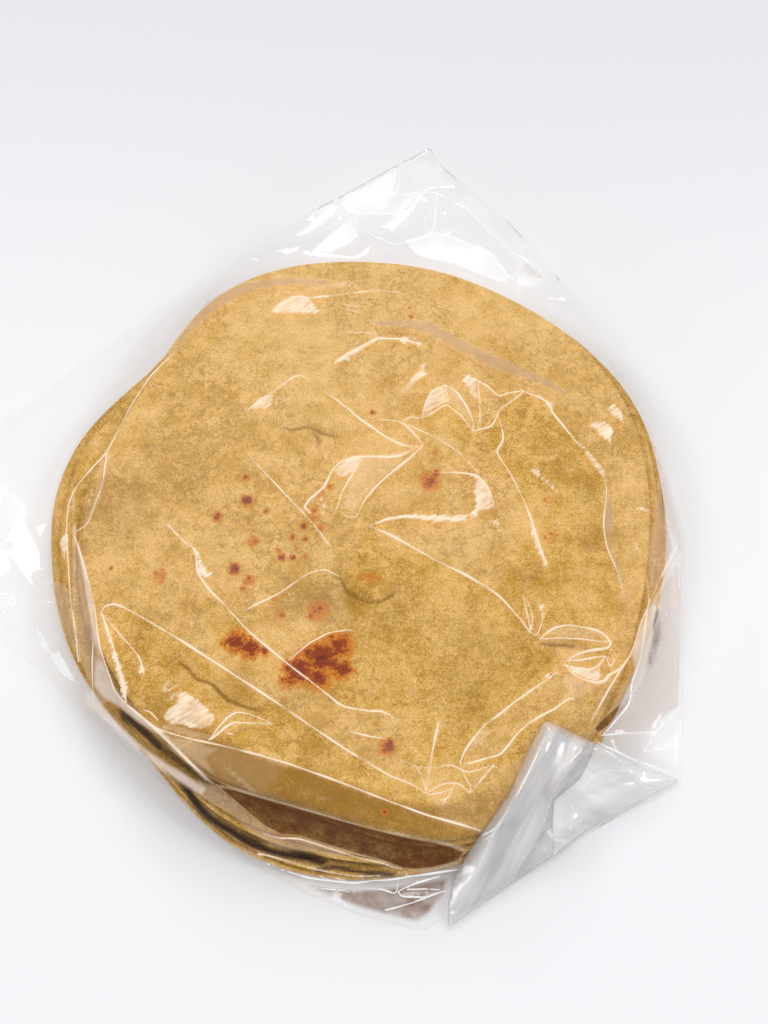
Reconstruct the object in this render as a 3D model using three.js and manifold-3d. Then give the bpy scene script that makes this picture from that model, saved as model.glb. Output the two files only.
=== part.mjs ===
// A stack of flour tortillas in a clear film bag that lies flat, as one solid of the bag's outer form.
// Millimetres, +Z up. The origin is under the middle of the top tortilla, on the surface the bag lies on.
import * as THREE from 'three';
import { mergeVertices } from 'three/addons/utils/BufferGeometryUtils.js';
import Module from 'manifold-3d';

// The stack: eight tortillas, of which the upper ones lie straight and the lower ones have slid aside
const TORTILLA_COUNT = 8;
const TORTILLA_PITCH = 3.4;
const FILM_CLEARANCE = 0.8;
const STACK_TOP = TORTILLA_COUNT * TORTILLA_PITCH + FILM_CLEARANCE;
const UPPER_STACK = { x: 0, y: 0, halfWidth: 125, halfDepth: 136 };
const LOWER_STACK = { x: -4, y: -1, halfWidth: 138, halfDepth: 142 };
const RIM_ROUNDING = { start: 9, shoulder: 3, shoulderDrop: 0.8, edgeDrop: 3.5 };
const LEDGE_HEIGHT = 0.5 * STACK_TOP;
const CROWN_SWELL = { height: 1.2, alongX: 31, alongY: 37 };

// The bag's flat outline: its corners in order, how high each one lifts, and the bulge of the edge after it
const BAG_CORNERS = [
  { name: 'right', x: 142, y: 10, lift: 1, bulge: 20 },
  { name: 'top', x: 28, y: 207, lift: 9, bulge: 12 },
  { name: 'left', x: -222, y: 12, lift: 7, bulge: -3 },
  { name: 'hip', x: -72, y: -115, lift: 0.5, bulge: 8 },
  { name: 'toe', x: 24, y: -163, lift: 0.5, bulge: 0 },
  { name: 'mouth', x: 136, y: -98, lift: 0.5, bulge: 0 },
];
const SEAM_THICKNESS = 2;
const SEAM_MARGIN = 6;
const FLAP_SAG = 1.7;
const FLAP_WAVE = { height: 1.6, countRound: 23, slant: 4, fullFlap: 40 };

// The mouth of the bag, folded up over the stack's rim from the toe to an apex on the top tortilla
const FOLD_APEX = new THREE.Vector3(73.5, -80, 36);
const FOLD_TOE = new THREE.Vector3(31, -158, 5);
const FOLD_FAR_START = new THREE.Vector3(133, -93, 4);
const FOLD_FAR_END = new THREE.Vector3(38, -152, 4);
const FOLD_LIP = 4;
const FOLD_CREST_FALL = 2;
const FOLD_SLOPE_ROUNDNESS = { atApex: 2.2, atToe: 1.2 };
const FOLD_UNDERSIDE = 1.2;

// Fineness of the mesh
const SPOKE_SPACING = 9;
const CROWN_RINGS = 9;
const FLAP_RINGS = 7;
const FOLD_SECTIONS = 16;
const FOLD_SLOPE_STEPS = 8;

const wasm = await Module();
wasm.setup();

const smooth = (share) => share * share * (3 - 2 * share);
const { lerp } = THREE.MathUtils;

// Points along the outline, each with the lift of the film's edge there
function outlineStations() {
  const stations = [];
  BAG_CORNERS.forEach((from, index) => {
    const to = BAG_CORNERS[(index + 1) % BAG_CORNERS.length];
    const length = Math.hypot(to.x - from.x, to.y - from.y);
    const outward = new THREE.Vector2(to.y - from.y, from.x - to.x).divideScalar(length);
    const steps = Math.round(length / SPOKE_SPACING);
    for (let step = 0; step < steps; step += 1) {
      const share = step / steps;
      const bow = 4 * share * (1 - share) * from.bulge;
      stations.push({
        x: lerp(from.x, to.x, share) + outward.x * bow,
        y: lerp(from.y, to.y, share) + outward.y * bow,
        lift: from.lift * smooth(1 - share) ** 2 + to.lift * smooth(share) ** 2,
      });
    }
  });
  return stations;
}

// Distance from the origin to an oval's edge along a unit direction
function ovalReach(oval, dx, dy) {
  const ux = dx / oval.halfWidth;
  const uy = dy / oval.halfDepth;
  const cx = oval.x / oval.halfWidth;
  const cy = oval.y / oval.halfDepth;
  const a = ux * ux + uy * uy;
  const b = ux * cx + uy * cy;
  const c = cx * cx + cy * cy - 1;
  return (b + Math.sqrt(b * b - a * c)) / a;
}

// The film over the top tortilla swells a little between the places where it clings
function crownHeight(x, y) {
  return STACK_TOP + CROWN_SWELL.height * Math.sin(x / CROWN_SWELL.alongX) * Math.cos(y / CROWN_SWELL.alongY);
}

// One spoke from the middle to the outline, as rows of points over the top and under the bag
function bagSpoke(station, turn) {
  const reach = Math.hypot(station.x, station.y);
  const dx = station.x / reach;
  const dy = station.y / reach;
  const base = Math.min(ovalReach(LOWER_STACK, dx, dy), reach - SEAM_MARGIN);
  const rim = Math.min(ovalReach(UPPER_STACK, dx, dy), base - SEAM_MARGIN / 2);
  const at = (r, z) => new THREE.Vector3(dx * r, dy * r, z);
  const over = [];
  const under = [at(0.5 * base, 0), at(base - SEAM_MARGIN, 0)];

  const crownReach = rim - RIM_ROUNDING.start;
  for (let ring = 1; ring <= CROWN_RINGS; ring += 1) {
    const r = (crownReach * ring) / CROWN_RINGS;
    over.push(at(r, crownHeight(dx * r, dy * r)));
  }
  const rimHeight = STACK_TOP - RIM_ROUNDING.edgeDrop;
  over.push(at(rim - RIM_ROUNDING.shoulder, STACK_TOP - RIM_ROUNDING.shoulderDrop), at(rim, rimHeight));
  over.push(at((rim + base) / 2, (rimHeight + LEDGE_HEIGHT) / 2), at(base, LEDGE_HEIGHT));

  const room = Math.min(1, (reach - base) / FLAP_WAVE.fullFlap);
  for (let ring = 1; ring <= FLAP_RINGS; ring += 1) {
    const share = ring / FLAP_RINGS;
    const r = lerp(base, reach, share);
    const phase = FLAP_WAVE.countRound * turn + FLAP_WAVE.slant * share;
    const wave = FLAP_WAVE.height * room * share * (1 + Math.sin(phase));
    const floor = station.lift * share * share + wave;
    const depth = lerp(LEDGE_HEIGHT, SEAM_THICKNESS, 1 - (1 - share) ** FLAP_SAG);
    under.push(at(r, floor));
    over.push(at(r, floor + depth));
  }
  return [...over, ...under.reverse()];
}

// A closed mesh of rings of points between two poles
function latticeGeometry(firstPole, rings, lastPole) {
  const count = rings[0].length;
  const points = [firstPole, ...rings.flat(), lastPole];
  const last = points.length - 1;
  const index = [];
  for (let i = 0; i < count; i += 1) {
    const next = (i + 1) % count;
    index.push(0, 1 + i, 1 + next);
    for (let ring = 0; ring + 1 < rings.length; ring += 1) {
      const a = 1 + ring * count + i;
      const b = 1 + ring * count + next;
      index.push(a, a + count, b, b, a + count, b + count);
    }
    const lastRing = 1 + (rings.length - 1) * count;
    index.push(last, lastRing + next, lastRing + i);
  }
  const geometry = new THREE.BufferGeometry().setFromPoints(points);
  geometry.setIndex(index);
  return geometry;
}

// The bag on its stack: the lattice's poles are the middle of the top and of the underside
function bagGeometry() {
  const stations = outlineStations();
  const spokes = stations.map((station) => bagSpoke(station, Math.atan2(station.y, station.x)));
  const rings = spokes[0].map((_, ring) => spokes.map((spoke) => spoke[ring]));
  return latticeGeometry(new THREE.Vector3(0, 0, crownHeight(0, 0)), rings, new THREE.Vector3(0, 0, 0));
}

// A cross-section of the folded mouth: a rounded lip at the crest, then a slope down to the far edge
function foldSection(along) {
  const crest = FOLD_APEX.clone().lerp(FOLD_TOE, along);
  crest.z = lerp(FOLD_APEX.z, FOLD_TOE.z, along ** FOLD_CREST_FALL);
  const far = FOLD_FAR_START.clone().lerp(FOLD_FAR_END, along);
  const across = far.clone().sub(crest).setZ(0);
  const length = across.length();
  across.normalize();
  const at = (reach, z) => crest.clone().addScaledVector(across, reach).setZ(z);
  const lip = Math.min(FOLD_LIP, (crest.z - FOLD_UNDERSIDE) / 3);
  const section = [at(-lip, FOLD_UNDERSIDE), at(-lip, crest.z - 2 * lip), at(-0.7 * lip, crest.z - 0.6 * lip)];
  const roundness = lerp(FOLD_SLOPE_ROUNDNESS.atApex, FOLD_SLOPE_ROUNDNESS.atToe, along);
  for (let step = 0; step <= FOLD_SLOPE_STEPS; step += 1) {
    const share = step / FOLD_SLOPE_STEPS;
    section.push(at(length * share, lerp(crest.z, far.z, share ** roundness)));
  }
  section.push(at(length, FOLD_UNDERSIDE));
  return section;
}

function foldGeometry() {
  const sections = [];
  for (let i = 0; i <= FOLD_SECTIONS; i += 1) sections.push(foldSection(i / FOLD_SECTIONS));
  const middle = (section) => section
    .reduce((sum, point) => sum.add(point), new THREE.Vector3())
    .divideScalar(section.length);
  return latticeGeometry(middle(sections[0]), sections, middle(sections.at(-1)));
}

function toSolid(geometry) {
  const merged = mergeVertices(geometry, 1e-4);
  return new wasm.Manifold(new wasm.Mesh({
    numProp: 3,
    vertProperties: new Float32Array(merged.getAttribute('position').array),
    triVerts: new Uint32Array(merged.getIndex().array),
  }));
}

function toGeometry(solid) {
  const mesh = solid.getMesh();
  const geometry = new THREE.BufferGeometry();
  geometry.setAttribute('position', new THREE.BufferAttribute(mesh.vertProperties, 3));
  geometry.setIndex(new THREE.BufferAttribute(mesh.triVerts, 1));
  geometry.computeVertexNormals();
  return geometry;
}

// Tortillas seen through glossy film
const bagMaterial = new THREE.MeshStandardMaterial({ color: '#d7aa68', roughness: 0.3, metalness: 0 });

const bag = new THREE.Mesh(toGeometry(toSolid(bagGeometry()).add(toSolid(foldGeometry()))), bagMaterial);
bag.name = 'tortilla_bag';

const group = new THREE.Group();
group.add(bag);

export default group;
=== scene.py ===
# %% [markdown]
# # A bag of flour tortillas
# Eight soft tortillas lie stacked in a clear film bag on a pale table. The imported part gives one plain
# solid for the whole bag. This lesson puts real film and real tortillas in its place: first the camera,
# then the bread, then the film that settles over it, then the light.

# %% Load the frame
import math

import bpy
import numpy as np
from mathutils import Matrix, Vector


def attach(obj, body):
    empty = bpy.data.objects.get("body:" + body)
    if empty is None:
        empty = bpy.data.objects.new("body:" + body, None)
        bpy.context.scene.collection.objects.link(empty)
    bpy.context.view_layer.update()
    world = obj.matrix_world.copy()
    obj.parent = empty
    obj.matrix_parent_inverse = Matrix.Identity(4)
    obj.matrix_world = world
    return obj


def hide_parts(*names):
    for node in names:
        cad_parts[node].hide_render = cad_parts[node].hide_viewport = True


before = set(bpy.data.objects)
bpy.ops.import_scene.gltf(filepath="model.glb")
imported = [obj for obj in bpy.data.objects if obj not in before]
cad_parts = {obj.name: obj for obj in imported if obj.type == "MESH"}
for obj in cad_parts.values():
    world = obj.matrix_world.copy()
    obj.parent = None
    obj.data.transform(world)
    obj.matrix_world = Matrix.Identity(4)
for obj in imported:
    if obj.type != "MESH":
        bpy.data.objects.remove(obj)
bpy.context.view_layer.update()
MM = 0.001

# %% [markdown]
# ## The camera
# The bag is seen from about 70 degrees above the table with a medium lens. The camera comes first because
# folds and griddle spots are placed where the photograph shows them: a ray through a pixel meets the
# stack's top at one point, so a pixel and a height give a place on the plan, in millimetres.

# %% Camera at the photograph's viewing angle
FRAME_WIDTH, FRAME_HEIGHT = 768, 1024
ELEVATION = math.radians(70)
LENS, SENSOR = 70.0, 36.0
AIM = np.array((7.3, 14.3, 28.0))
DISTANCE = 867.0
LOOK = np.array((0, math.cos(ELEVATION), -math.sin(ELEVATION)))
UPWARD = np.array((0, math.sin(ELEVATION), math.cos(ELEVATION)))
SIDEWAYS = np.array((1.0, 0, 0))
EYE = AIM - DISTANCE * LOOK
FOCAL = FRAME_HEIGHT * LENS / SENSOR


def from_photo(pixels, height):
    """Plan places, in mm, that the camera sees at these pixels, at a height above the table."""
    pixels = np.asarray(pixels, float)
    across = np.outer((pixels[:, 0] - FRAME_WIDTH / 2) / FOCAL, SIDEWAYS)
    rays = LOOK + across + np.outer((FRAME_HEIGHT / 2 - pixels[:, 1]) / FOCAL, UPWARD)
    run = (np.asarray(height) - EYE[2]) / rays[:, 2]
    return (EYE + rays * run[:, None])[:, :2]


bpy.ops.object.select_all(action="DESELECT")
bpy.ops.object.camera_add(location=EYE * MM, rotation=(math.pi / 2 - ELEVATION, 0, 0))
camera = bpy.context.object
camera.name = "photo_camera"
camera.data.lens = LENS
camera.data.sensor_width = SENSOR
bpy.context.scene.camera = camera
print("camera at", np.round(EYE), "mm")

# %% [markdown]
# ## Helpers for meshes
# Every piece starts as a grid. Its points are read as one array, moved by a formula and written back, which
# is sculpting by numbers. Faces are picked by their place, and edit-mode operators then act on them.

# %% Mesh helpers


def points(piece):
    flat = np.empty(len(piece.data.vertices) * 3)
    piece.data.vertices.foreach_get("co", flat)
    return flat.reshape(-1, 3) / MM


def put_points(piece, places):
    piece.data.vertices.foreach_set("co", (places * MM).ravel())
    piece.data.update()


def face_centres(piece):
    flat = np.empty(len(piece.data.polygons) * 3)
    piece.data.polygons.foreach_get("center", flat)
    return flat.reshape(-1, 3)[:, :2] / MM


def turn_of(plan):
    """Angle of each place about the stack's middle, in radians."""
    return np.arctan2(plan[..., 1], plan[..., 0])


def reach_of(plan):
    """Distance of each place from the stack's middle, in mm."""
    return np.hypot(plan[..., 0], plan[..., 1])


def only(piece):
    """Makes this piece the one that operators act on."""
    bpy.ops.object.select_all(action="DESELECT")
    piece.select_set(True)
    bpy.context.view_layer.objects.active = piece


def edit_faces(piece, chosen, operator, **options):
    """Runs one edit-mode operator on the chosen faces."""
    only(piece)
    mesh = piece.data
    bpy.context.tool_settings.mesh_select_mode = (False, False, True)
    mesh.vertices.foreach_set("select", np.zeros(len(mesh.vertices), bool))
    mesh.edges.foreach_set("select", np.zeros(len(mesh.edges), bool))
    mesh.polygons.foreach_set("select", chosen)
    bpy.ops.object.mode_set(mode="EDIT")
    operator(**options)
    bpy.ops.object.mode_set(mode="OBJECT")


def rim_points(piece):
    """True for the points on a sheet's open edge."""
    only(piece)
    bpy.context.tool_settings.mesh_select_mode = (True, False, False)
    bpy.ops.object.mode_set(mode="EDIT")
    bpy.ops.mesh.select_all(action="DESELECT")
    bpy.ops.mesh.select_non_manifold()
    bpy.ops.object.mode_set(mode="OBJECT")
    picked = np.zeros(len(piece.data.vertices), bool)
    piece.data.vertices.foreach_get("select", picked)
    return picked


def shut(over, under):
    """Joins two sheets that share an edge into one closed piece."""
    edit_faces(under, np.ones(len(under.data.polygons), bool), bpy.ops.mesh.flip_normals)
    only(over)
    under.select_set(True)
    bpy.ops.object.join()
    rim_points(over)
    bpy.ops.object.mode_set(mode="EDIT")
    bpy.ops.mesh.remove_doubles(threshold=1e-6)
    bpy.ops.object.mode_set(mode="OBJECT")
    bpy.ops.object.shade_smooth()
    return over


def write_field(piece, name, values):
    """Keeps one number for each point, for a material to read."""
    layer = piece.data.attributes.new(name, "FLOAT", "POINT")
    layer.data.foreach_set("value", np.asarray(values, np.float32))


def smooth_step(low, high, value):
    share = np.clip((value - low) / (high - low), 0, 1)
    return share * share * (3 - 2 * share)


def along_stroke(plan, path):
    """Distance to a stroke, which hand of it, how far along it the nearest place lies, and its length."""
    best = np.full(len(plan), np.inf)
    side = np.ones(len(plan))
    run = np.zeros(len(plan))
    before = 0.0
    for start, end in zip(path[:-1], path[1:]):
        step = end - start
        length = np.hypot(*step)
        away = plan - start
        share = np.clip(away @ step / length ** 2, 0, 1)
        distance = np.hypot(*(away - np.outer(share, step)).T)
        nearer = distance < best
        best = np.where(nearer, distance, best)
        side = np.where(nearer, np.sign(step[0] * away[:, 1] - step[1] * away[:, 0]), side)
        run = np.where(nearer, before + share * length, run)
        before += length
    return best, side, run, before


CORNER_CUT = 0.15


def soften(path):
    """Cuts the corners of a stroke twice, so that it bends instead of kinking."""
    for _ in range(2):
        near = path[:-1] + CORNER_CUT * (path[1:] - path[:-1])
        far = path[1:] - CORNER_CUT * (path[1:] - path[:-1])
        path = np.vstack((path[:1], np.stack((near, far), 1).reshape(-1, 2), path[-1:]))
    return path


def near_stroke(plan, path, reach):
    """Numbers of the places within the box round a stroke, as a quick first choice."""
    return np.flatnonzero(np.all((plan > path.min(0) - reach) & (plan < path.max(0) + reach), axis=1))


EDGE_CLEAR = 4.0


def divide_near(piece, paths, reach, edge_gap):
    """Halves the cells close to the strokes, away from the sheet's edge."""
    centres = face_centres(piece)
    near = np.zeros(len(centres), bool)
    for path in paths:
        box = near_stroke(centres, path, reach)
        near[box[along_stroke(centres[box], path)[0] < reach]] = True
    near &= edge_gap(centres) > EDGE_CLEAR
    edit_faces(piece, near, bpy.ops.mesh.subdivide, number_cuts=1)


def snap_onto(piece, paths, reach):
    """Moves points that lie very close to a stroke onto it, so that the mesh follows its ridge."""
    places = points(piece)
    plan = places[:, :2]
    for path in paths:
        box = near_stroke(plan, path, reach)
        for start, end in zip(path[:-1], path[1:]):
            step = end - start
            share = (plan[box] - start) @ step / (step @ step)
            foot = start + np.outer(share, step)
            close = (np.hypot(*(plan[box] - foot).T) < reach) & (share > 0) & (share < 1)
            plan[box[close]] = foot[close]
    put_points(piece, places)


# %% [markdown]
# ## The stack's outlines
# A tortilla is round only at a glance. Its edge is a circle with slow bulges and flats, so a few points
# read round the edge are joined by a short sum of waves. The top tortilla and the lowest ones were read
# apart, because the lower ones have slid to the left and towards the viewer.

# %% Outlines of the top and the lowest tortilla
TOP_HEIGHT, LOW_HEIGHT = 28.0, 8.0
TOP_EDGE = [
    (365, 254), (300, 258), (240, 274), (192, 314), (150, 368), (112, 430), (88, 490), (77, 540),
    (85, 590), (103, 650), (127, 703), (143, 717), (160, 732), (181, 751), (205, 775), (260, 796),
    (330, 816), (394, 834), (444, 843), (490, 826), (545, 790), (597, 728), (622, 668), (642, 612),
    (650, 555), (652, 500), (646, 455), (629, 400), (607, 367), (580, 338), (556, 320), (520, 296),
    (475, 275), (420, 261),
]
LOW_EDGE = [
    (134, 385), (94, 422), (78, 443), (64, 466), (56, 492), (52, 525), (50, 565), (53, 594), (61, 620),
    (74, 648), (88, 682), (102, 704), (128, 737), (155, 764), (185, 798), (220, 834), (270, 860),
    (330, 874), (390, 877), (459, 865), (530, 822), (600, 740), (640, 655), (660, 592), (665, 545),
    (659, 490), (651, 440), (630, 402), (602, 366), (570, 341), (530, 316), (460, 290), (370, 277),
    (280, 288), (203, 330),
]
EDGE_WAVES = 9


def wave_columns(angle, count):
    columns = [np.ones_like(angle)]
    for wave in range(1, count + 1):
        columns += [np.cos(wave * angle), np.sin(wave * angle)]
    return np.stack(columns, -1)


def edge_through(pixels, height):
    """A smooth closed edge about the stack's middle, as its reach at any angle."""
    plan = from_photo(pixels, height)
    columns = wave_columns(turn_of(plan), EDGE_WAVES)
    weights = np.linalg.lstsq(columns, reach_of(plan), rcond=None)[0]
    return lambda at: wave_columns(at, EDGE_WAVES) @ weights


top_edge = edge_through(TOP_EDGE, TOP_HEIGHT)
low_edge = edge_through(LOW_EDGE, LOW_HEIGHT)
round_angles = np.linspace(0, 2 * math.pi, 8, endpoint=False)
print("top tortilla's reach in mm:", np.round(top_edge(round_angles)))

# %% [markdown]
# ## How the stack lies
# The tortillas are a little thinner at the rim, which leaves room for the edges to fan out. Two gaps open
# at the near left: one under the top two tortillas and one lower down. All heights come from one function,
# so no two tortillas cross, and the film can later ask how high the bread is at any place.

# %% Heights in the stack
COUNT = 8
THICKNESS, RIM_THICKNESS, GAP = 3.0, 2.3, 0.3
RIM_STARTS, RIM_LIFT = 0.72, 0.6
TABLE_GAP = 0.35
# from the lowest tortilla up: nothing where it lies under the top one, and one at the lowest outline
SLID = (0.97, 1.0, 0.93, 0.70, 0.66, 0.62, 0.12, 0.0)
# first tortilla that lifts, counted from nothing: how far in mm, towards which side and how wide, in degrees
FANS = {6: (4.2, 236, 44), 7: (0.8, 245, 40), 3: (3.6, 240, 30), 5: (0.6, 30, 35), 2: (0.5, 200, 30)}
WOBBLE = 0.9
draw = np.random.default_rng(7)
edge_phases = draw.uniform(0, 2 * math.pi, (COUNT, 3))


def edge_of(layer, angle):
    """Reach of one tortilla's edge, between the top outline and the lowest one, with its own unevenness."""
    reach = (1 - SLID[layer]) * top_edge(angle) + SLID[layer] * low_edge(angle)
    if layer == COUNT - 1:
        return reach
    own = sum(np.sin((wave + 3) * angle + edge_phases[layer, wave]) / (wave + 1) for wave in range(3))
    return reach + WOBBLE * own


def rim_share(plan):
    """Nothing in the middle of the stack, rising to one at the top tortilla's edge."""
    return smooth_step(RIM_STARTS, 1.0, reach_of(plan) / top_edge(turn_of(plan)))


def sheet_thickness(plan):
    return THICKNESS + (RIM_THICKNESS - THICKNESS) * rim_share(plan)


def degrees_off(plan, towards):
    """How many degrees each place lies to the side of a direction from the stack's middle."""
    return (np.degrees(turn_of(plan)) - towards + 180) % 360 - 180


def under_height(layer, plan):
    """Height of a tortilla's underside over the table."""
    outer = rim_share(plan)
    height = TABLE_GAP + layer * (sheet_thickness(plan) + GAP)
    for fan_layer, (lift, towards, spread) in FANS.items():
        if layer >= fan_layer:
            height = height + lift * outer * np.exp(-(degrees_off(plan, towards) / spread) ** 2)
    angle = turn_of(plan)
    ripple = 0.35 * np.sin(9 * angle + 0.7) + 0.25 * np.sin(14 * angle + 2)
    return height + outer * (RIM_LIFT + ripple)


print("stack's middle stands", TABLE_GAP + COUNT * (THICKNESS + GAP) - GAP, "mm high")

# %% [markdown]
# ## Relief of the top tortilla
# Bread blisters on the griddle and dents in the bag. Slow waves give the sheet its swell, and a few
# hollows, welts and grooves stand where the photograph shows them. This is real shape rather
# than bump, because the film rests on it and its highlights follow it.

# %% Swells, dents, welts and grooves
DENTS = [
    ((340, 572), 9, -0.9), ((362, 600), 10, -1.0), ((392, 598), 8, -0.8), ((352, 585), 7, 0.9),
    ((236, 688), 9, -0.9), ((262, 702), 8, -0.7), ((215, 668), 10, 0.6), ((300, 428), 16, -0.5),
    ((345, 440), 12, -0.5), ((545, 505), 18, 0.6), ((430, 700), 20, 0.5), ((150, 470), 22, -0.5),
    ((575, 655), 9, -0.8), ((300, 640), 16, 0.7), ((470, 560), 22, 0.4),
]
DENT_PLACES = from_photo([spot for spot, size, depth in DENTS], TOP_HEIGHT)
GROOVES = {
    "dimple": [(326, 571), (340, 575), (347, 590), (360, 597), (375, 601), (390, 595), (400, 587)],
    "wavy": [(172, 661), (184, 663), (196, 678), (211, 682), (225, 697), (243, 705), (269, 710)],
    "upper": [(276, 424), (292, 428), (308, 424), (325, 432), (345, 436)],
    "upper_fork": [(308, 424), (318, 436), (322, 450)],
    "right": [(535, 641), (552, 644), (570, 643), (585, 648)],
    "right_short": [(552, 660), (558, 661), (563, 664)],
}
GROOVE_PATHS = [soften(from_photo(path, TOP_HEIGHT)) for path in GROOVES.values()]
GROOVE_DEPTH, GROOVE_WIDTH, GROOVE_END = 0.9, 2.4, 7.0
EDGE_MARGIN = 0.4


def groove_at(plan, width):
    """One in the bottom of a groove, falling to nothing beside it and towards its ends."""
    share = np.zeros(len(plan))
    for path in GROOVE_PATHS:
        box = near_stroke(plan, path, 3 * width)
        distance, _, run, length = along_stroke(plan[box], path)
        taper = smooth_step(0, GROOVE_END, np.minimum(run, length - run))
        share[box] = np.maximum(share[box], taper * np.exp(-(distance / width) ** 2))
    return share


def top_gap(plan):
    """How far a place lies inside the top tortilla's edge, in mm."""
    return top_edge(turn_of(plan)) - reach_of(plan)


def waves(plan, seed, length, count=9):
    """Smooth unevenness of about one unit, from a few plane waves of one length."""
    pick = np.random.default_rng(seed)
    total = np.zeros(len(plan))
    for turn, phase, stretch in pick.uniform((0, 0, 0.7), (2 * math.pi, 2 * math.pi, 1.4), (count, 3)):
        along = plan @ np.array((math.cos(turn), math.sin(turn)))
        total += np.sin(2 * math.pi * along / (length * stretch) + phase)
    return total / math.sqrt(count)


def top_relief(plan):
    relief = 0.45 * waves(plan, 11, 46) + 0.26 * waves(plan, 12, 19) + 0.10 * waves(plan, 13, 8)
    for place, (spot, size, depth) in zip(DENT_PLACES, DENTS):
        away = np.hypot(*(plan - place).T)
        relief = relief + depth * np.exp(-(away / size) ** 2)
    return relief - GROOVE_DEPTH * groove_at(plan, GROOVE_WIDTH)


def bread_height(plan):
    """Height of the highest bread at each place, or zero beside the stack."""
    height = np.zeros(len(plan))
    for layer in range(COUNT):
        top = under_height(layer, plan) + sheet_thickness(plan)
        if layer == COUNT - 1:
            top = top + top_relief(plan)
        covered = reach_of(plan) < edge_of(layer, turn_of(plan)) + EDGE_MARGIN
        height = np.where(covered, np.maximum(height, top), height)
    return height


print("relief spans", np.round(np.ptp(top_relief(from_photo(TOP_EDGE, TOP_HEIGHT))), 2), "mm round the rim")

# %% [markdown]
# ## Griddle spots
# Brown spots are where the dough touched the hot plate. They are kept as one number for each point of the
# mesh, which the bread material turns into orange, brown and black. A spot is its place in the photograph,
# its radius in millimetres and how burnt it is.

# %% Griddle spots of the top tortilla
SPOTS = [
    (300, 669, 7.0, 1.1), (323, 657, 8.0, 1.15), (340, 645, 6.0, 1.0), (343, 668, 5.0, 1.0),
    (288, 680, 4.5, 0.85), (318, 677, 5.5, 1.05), (309, 652, 4.5, 0.95), (332, 636, 3.0, 0.75),
    (236, 641, 5.2, 1.1), (250, 647, 4.8, 1.15), (264, 650, 2.8, 0.9), (226, 643, 3.0, 0.8),
    (430, 480, 4.6, 0.92), (436, 472, 2.6, 0.75), (436, 451, 3.0, 0.45), (388, 746, 3.4, 1.15),
    (390, 741, 1.8, 1.2), (246, 476, 1.8, 1.0), (247, 499, 2.6, 1.25), (217, 516, 2.4, 1.05),
    (266, 510, 1.5, 0.85), (304, 525, 1.9, 1.15), (321, 526, 1.8, 0.8), (292, 536, 1.6, 1.05),
    (305, 538, 1.5, 1.0), (296, 547, 1.8, 0.7), (282, 556, 1.8, 1.15), (292, 556, 1.5, 1.05),
    (304, 555, 1.9, 0.7), (278, 549, 1.2, 0.9), (314, 509, 1.8, 1.0), (234, 568, 2.8, 1.15),
    (253, 541, 3.2, 0.65), (250, 579, 3.5, 0.7), (243, 588, 2.4, 0.65), (318, 610, 5.0, 0.75),
    (311, 616, 2.0, 0.85), (281, 613, 2.6, 0.65), (276, 597, 2.2, 0.65), (372, 577, 5.5, 0.42),
    (362, 576, 2.6, 0.55), (378, 579, 2.2, 0.6), (549, 500, 6.0, 0.36), (551, 535, 6.5, 0.42),
    (205, 577, 2.0, 0.5), (110, 565, 1.2, 0.9), (314, 516, 3.4, 0.6), (320, 493, 3.0, 0.55),
    (330, 486, 2.0, 0.6), (158, 574, 5.0, 0.5), (165, 458, 3.0, 0.42), (164, 500, 5.0, 0.36),
    (500, 330, 9.0, 0.3), (455, 375, 6.0, 0.3), (190, 470, 8.0, 0.3), (330, 700, 6.0, 0.35),
    (373, 411, 1.6, 0.8), (411, 314, 1.2, 0.95), (410, 305, 0.9, 0.8), (385, 811, 1.4, 0.9),
]
SPOT_PLACES = from_photo([spot[:2] for spot in SPOTS], TOP_HEIGHT)
SPOT_RADII = np.array([spot[2] for spot in SPOTS])
BURN_FALL, BURN_POWER = 0.9, 1.7
SCATTERED, SCATTER_REACH = 60, 132


def burnt(plan, places, spots):
    """How burnt the bread is: one in the middle of a strong spot, falling off to nothing."""
    burn = np.zeros(len(plan))
    for place, (radius, strength) in zip(places, spots):
        away = np.hypot(*(plan - place).T) / radius
        burn = np.maximum(burn, strength * np.exp(-BURN_FALL * away ** BURN_POWER))
    return burn


def scattered_spots(seed):
    """Places, radii and strengths of the spots on a tortilla that is mostly covered."""
    pick = np.random.default_rng(seed)
    turn = pick.uniform(0, 2 * math.pi, SCATTERED)
    reach = SCATTER_REACH * np.sqrt(pick.uniform(0, 1, SCATTERED))
    places = np.stack((reach * np.cos(turn), reach * np.sin(turn)), 1)
    return places, pick.uniform((1.5, 0.3), (5.0, 0.55), (SCATTERED, 2))


print(len(SPOTS), "griddle spots on the top tortilla")

# %% [markdown]
# ## Painted shade and slow patches
# Light hardly reaches between the tortillas, into a groove or under the near rim, so the bread is painted
# darker there: painted shade, as a dark colour and as a deeper bronze. The bread also drifts in slow patches,
# deeper in some and paler in others, and the deeper ones by the near rim, the right edge and the mouth are
# painted shade too. Both are kept as one number for each point of the mesh, like the spots.

# %% Dark places: the open gap, slits between the lower tortillas, grooves and the near rim
GAP_SIDE, GAP_SPREAD = 242, 46
NEAR_SIDE, NEAR_SPREAD = 260, 38
GAP_DARKNESS = (0.0, 0.0, 0.0, 0.0, 0.10, 0.30, 0.40)
COVER_OUTER, COVER_INNER = 1.4, -0.8
DEEP_OUTER, DEEP_INNER = -5, -20
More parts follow.
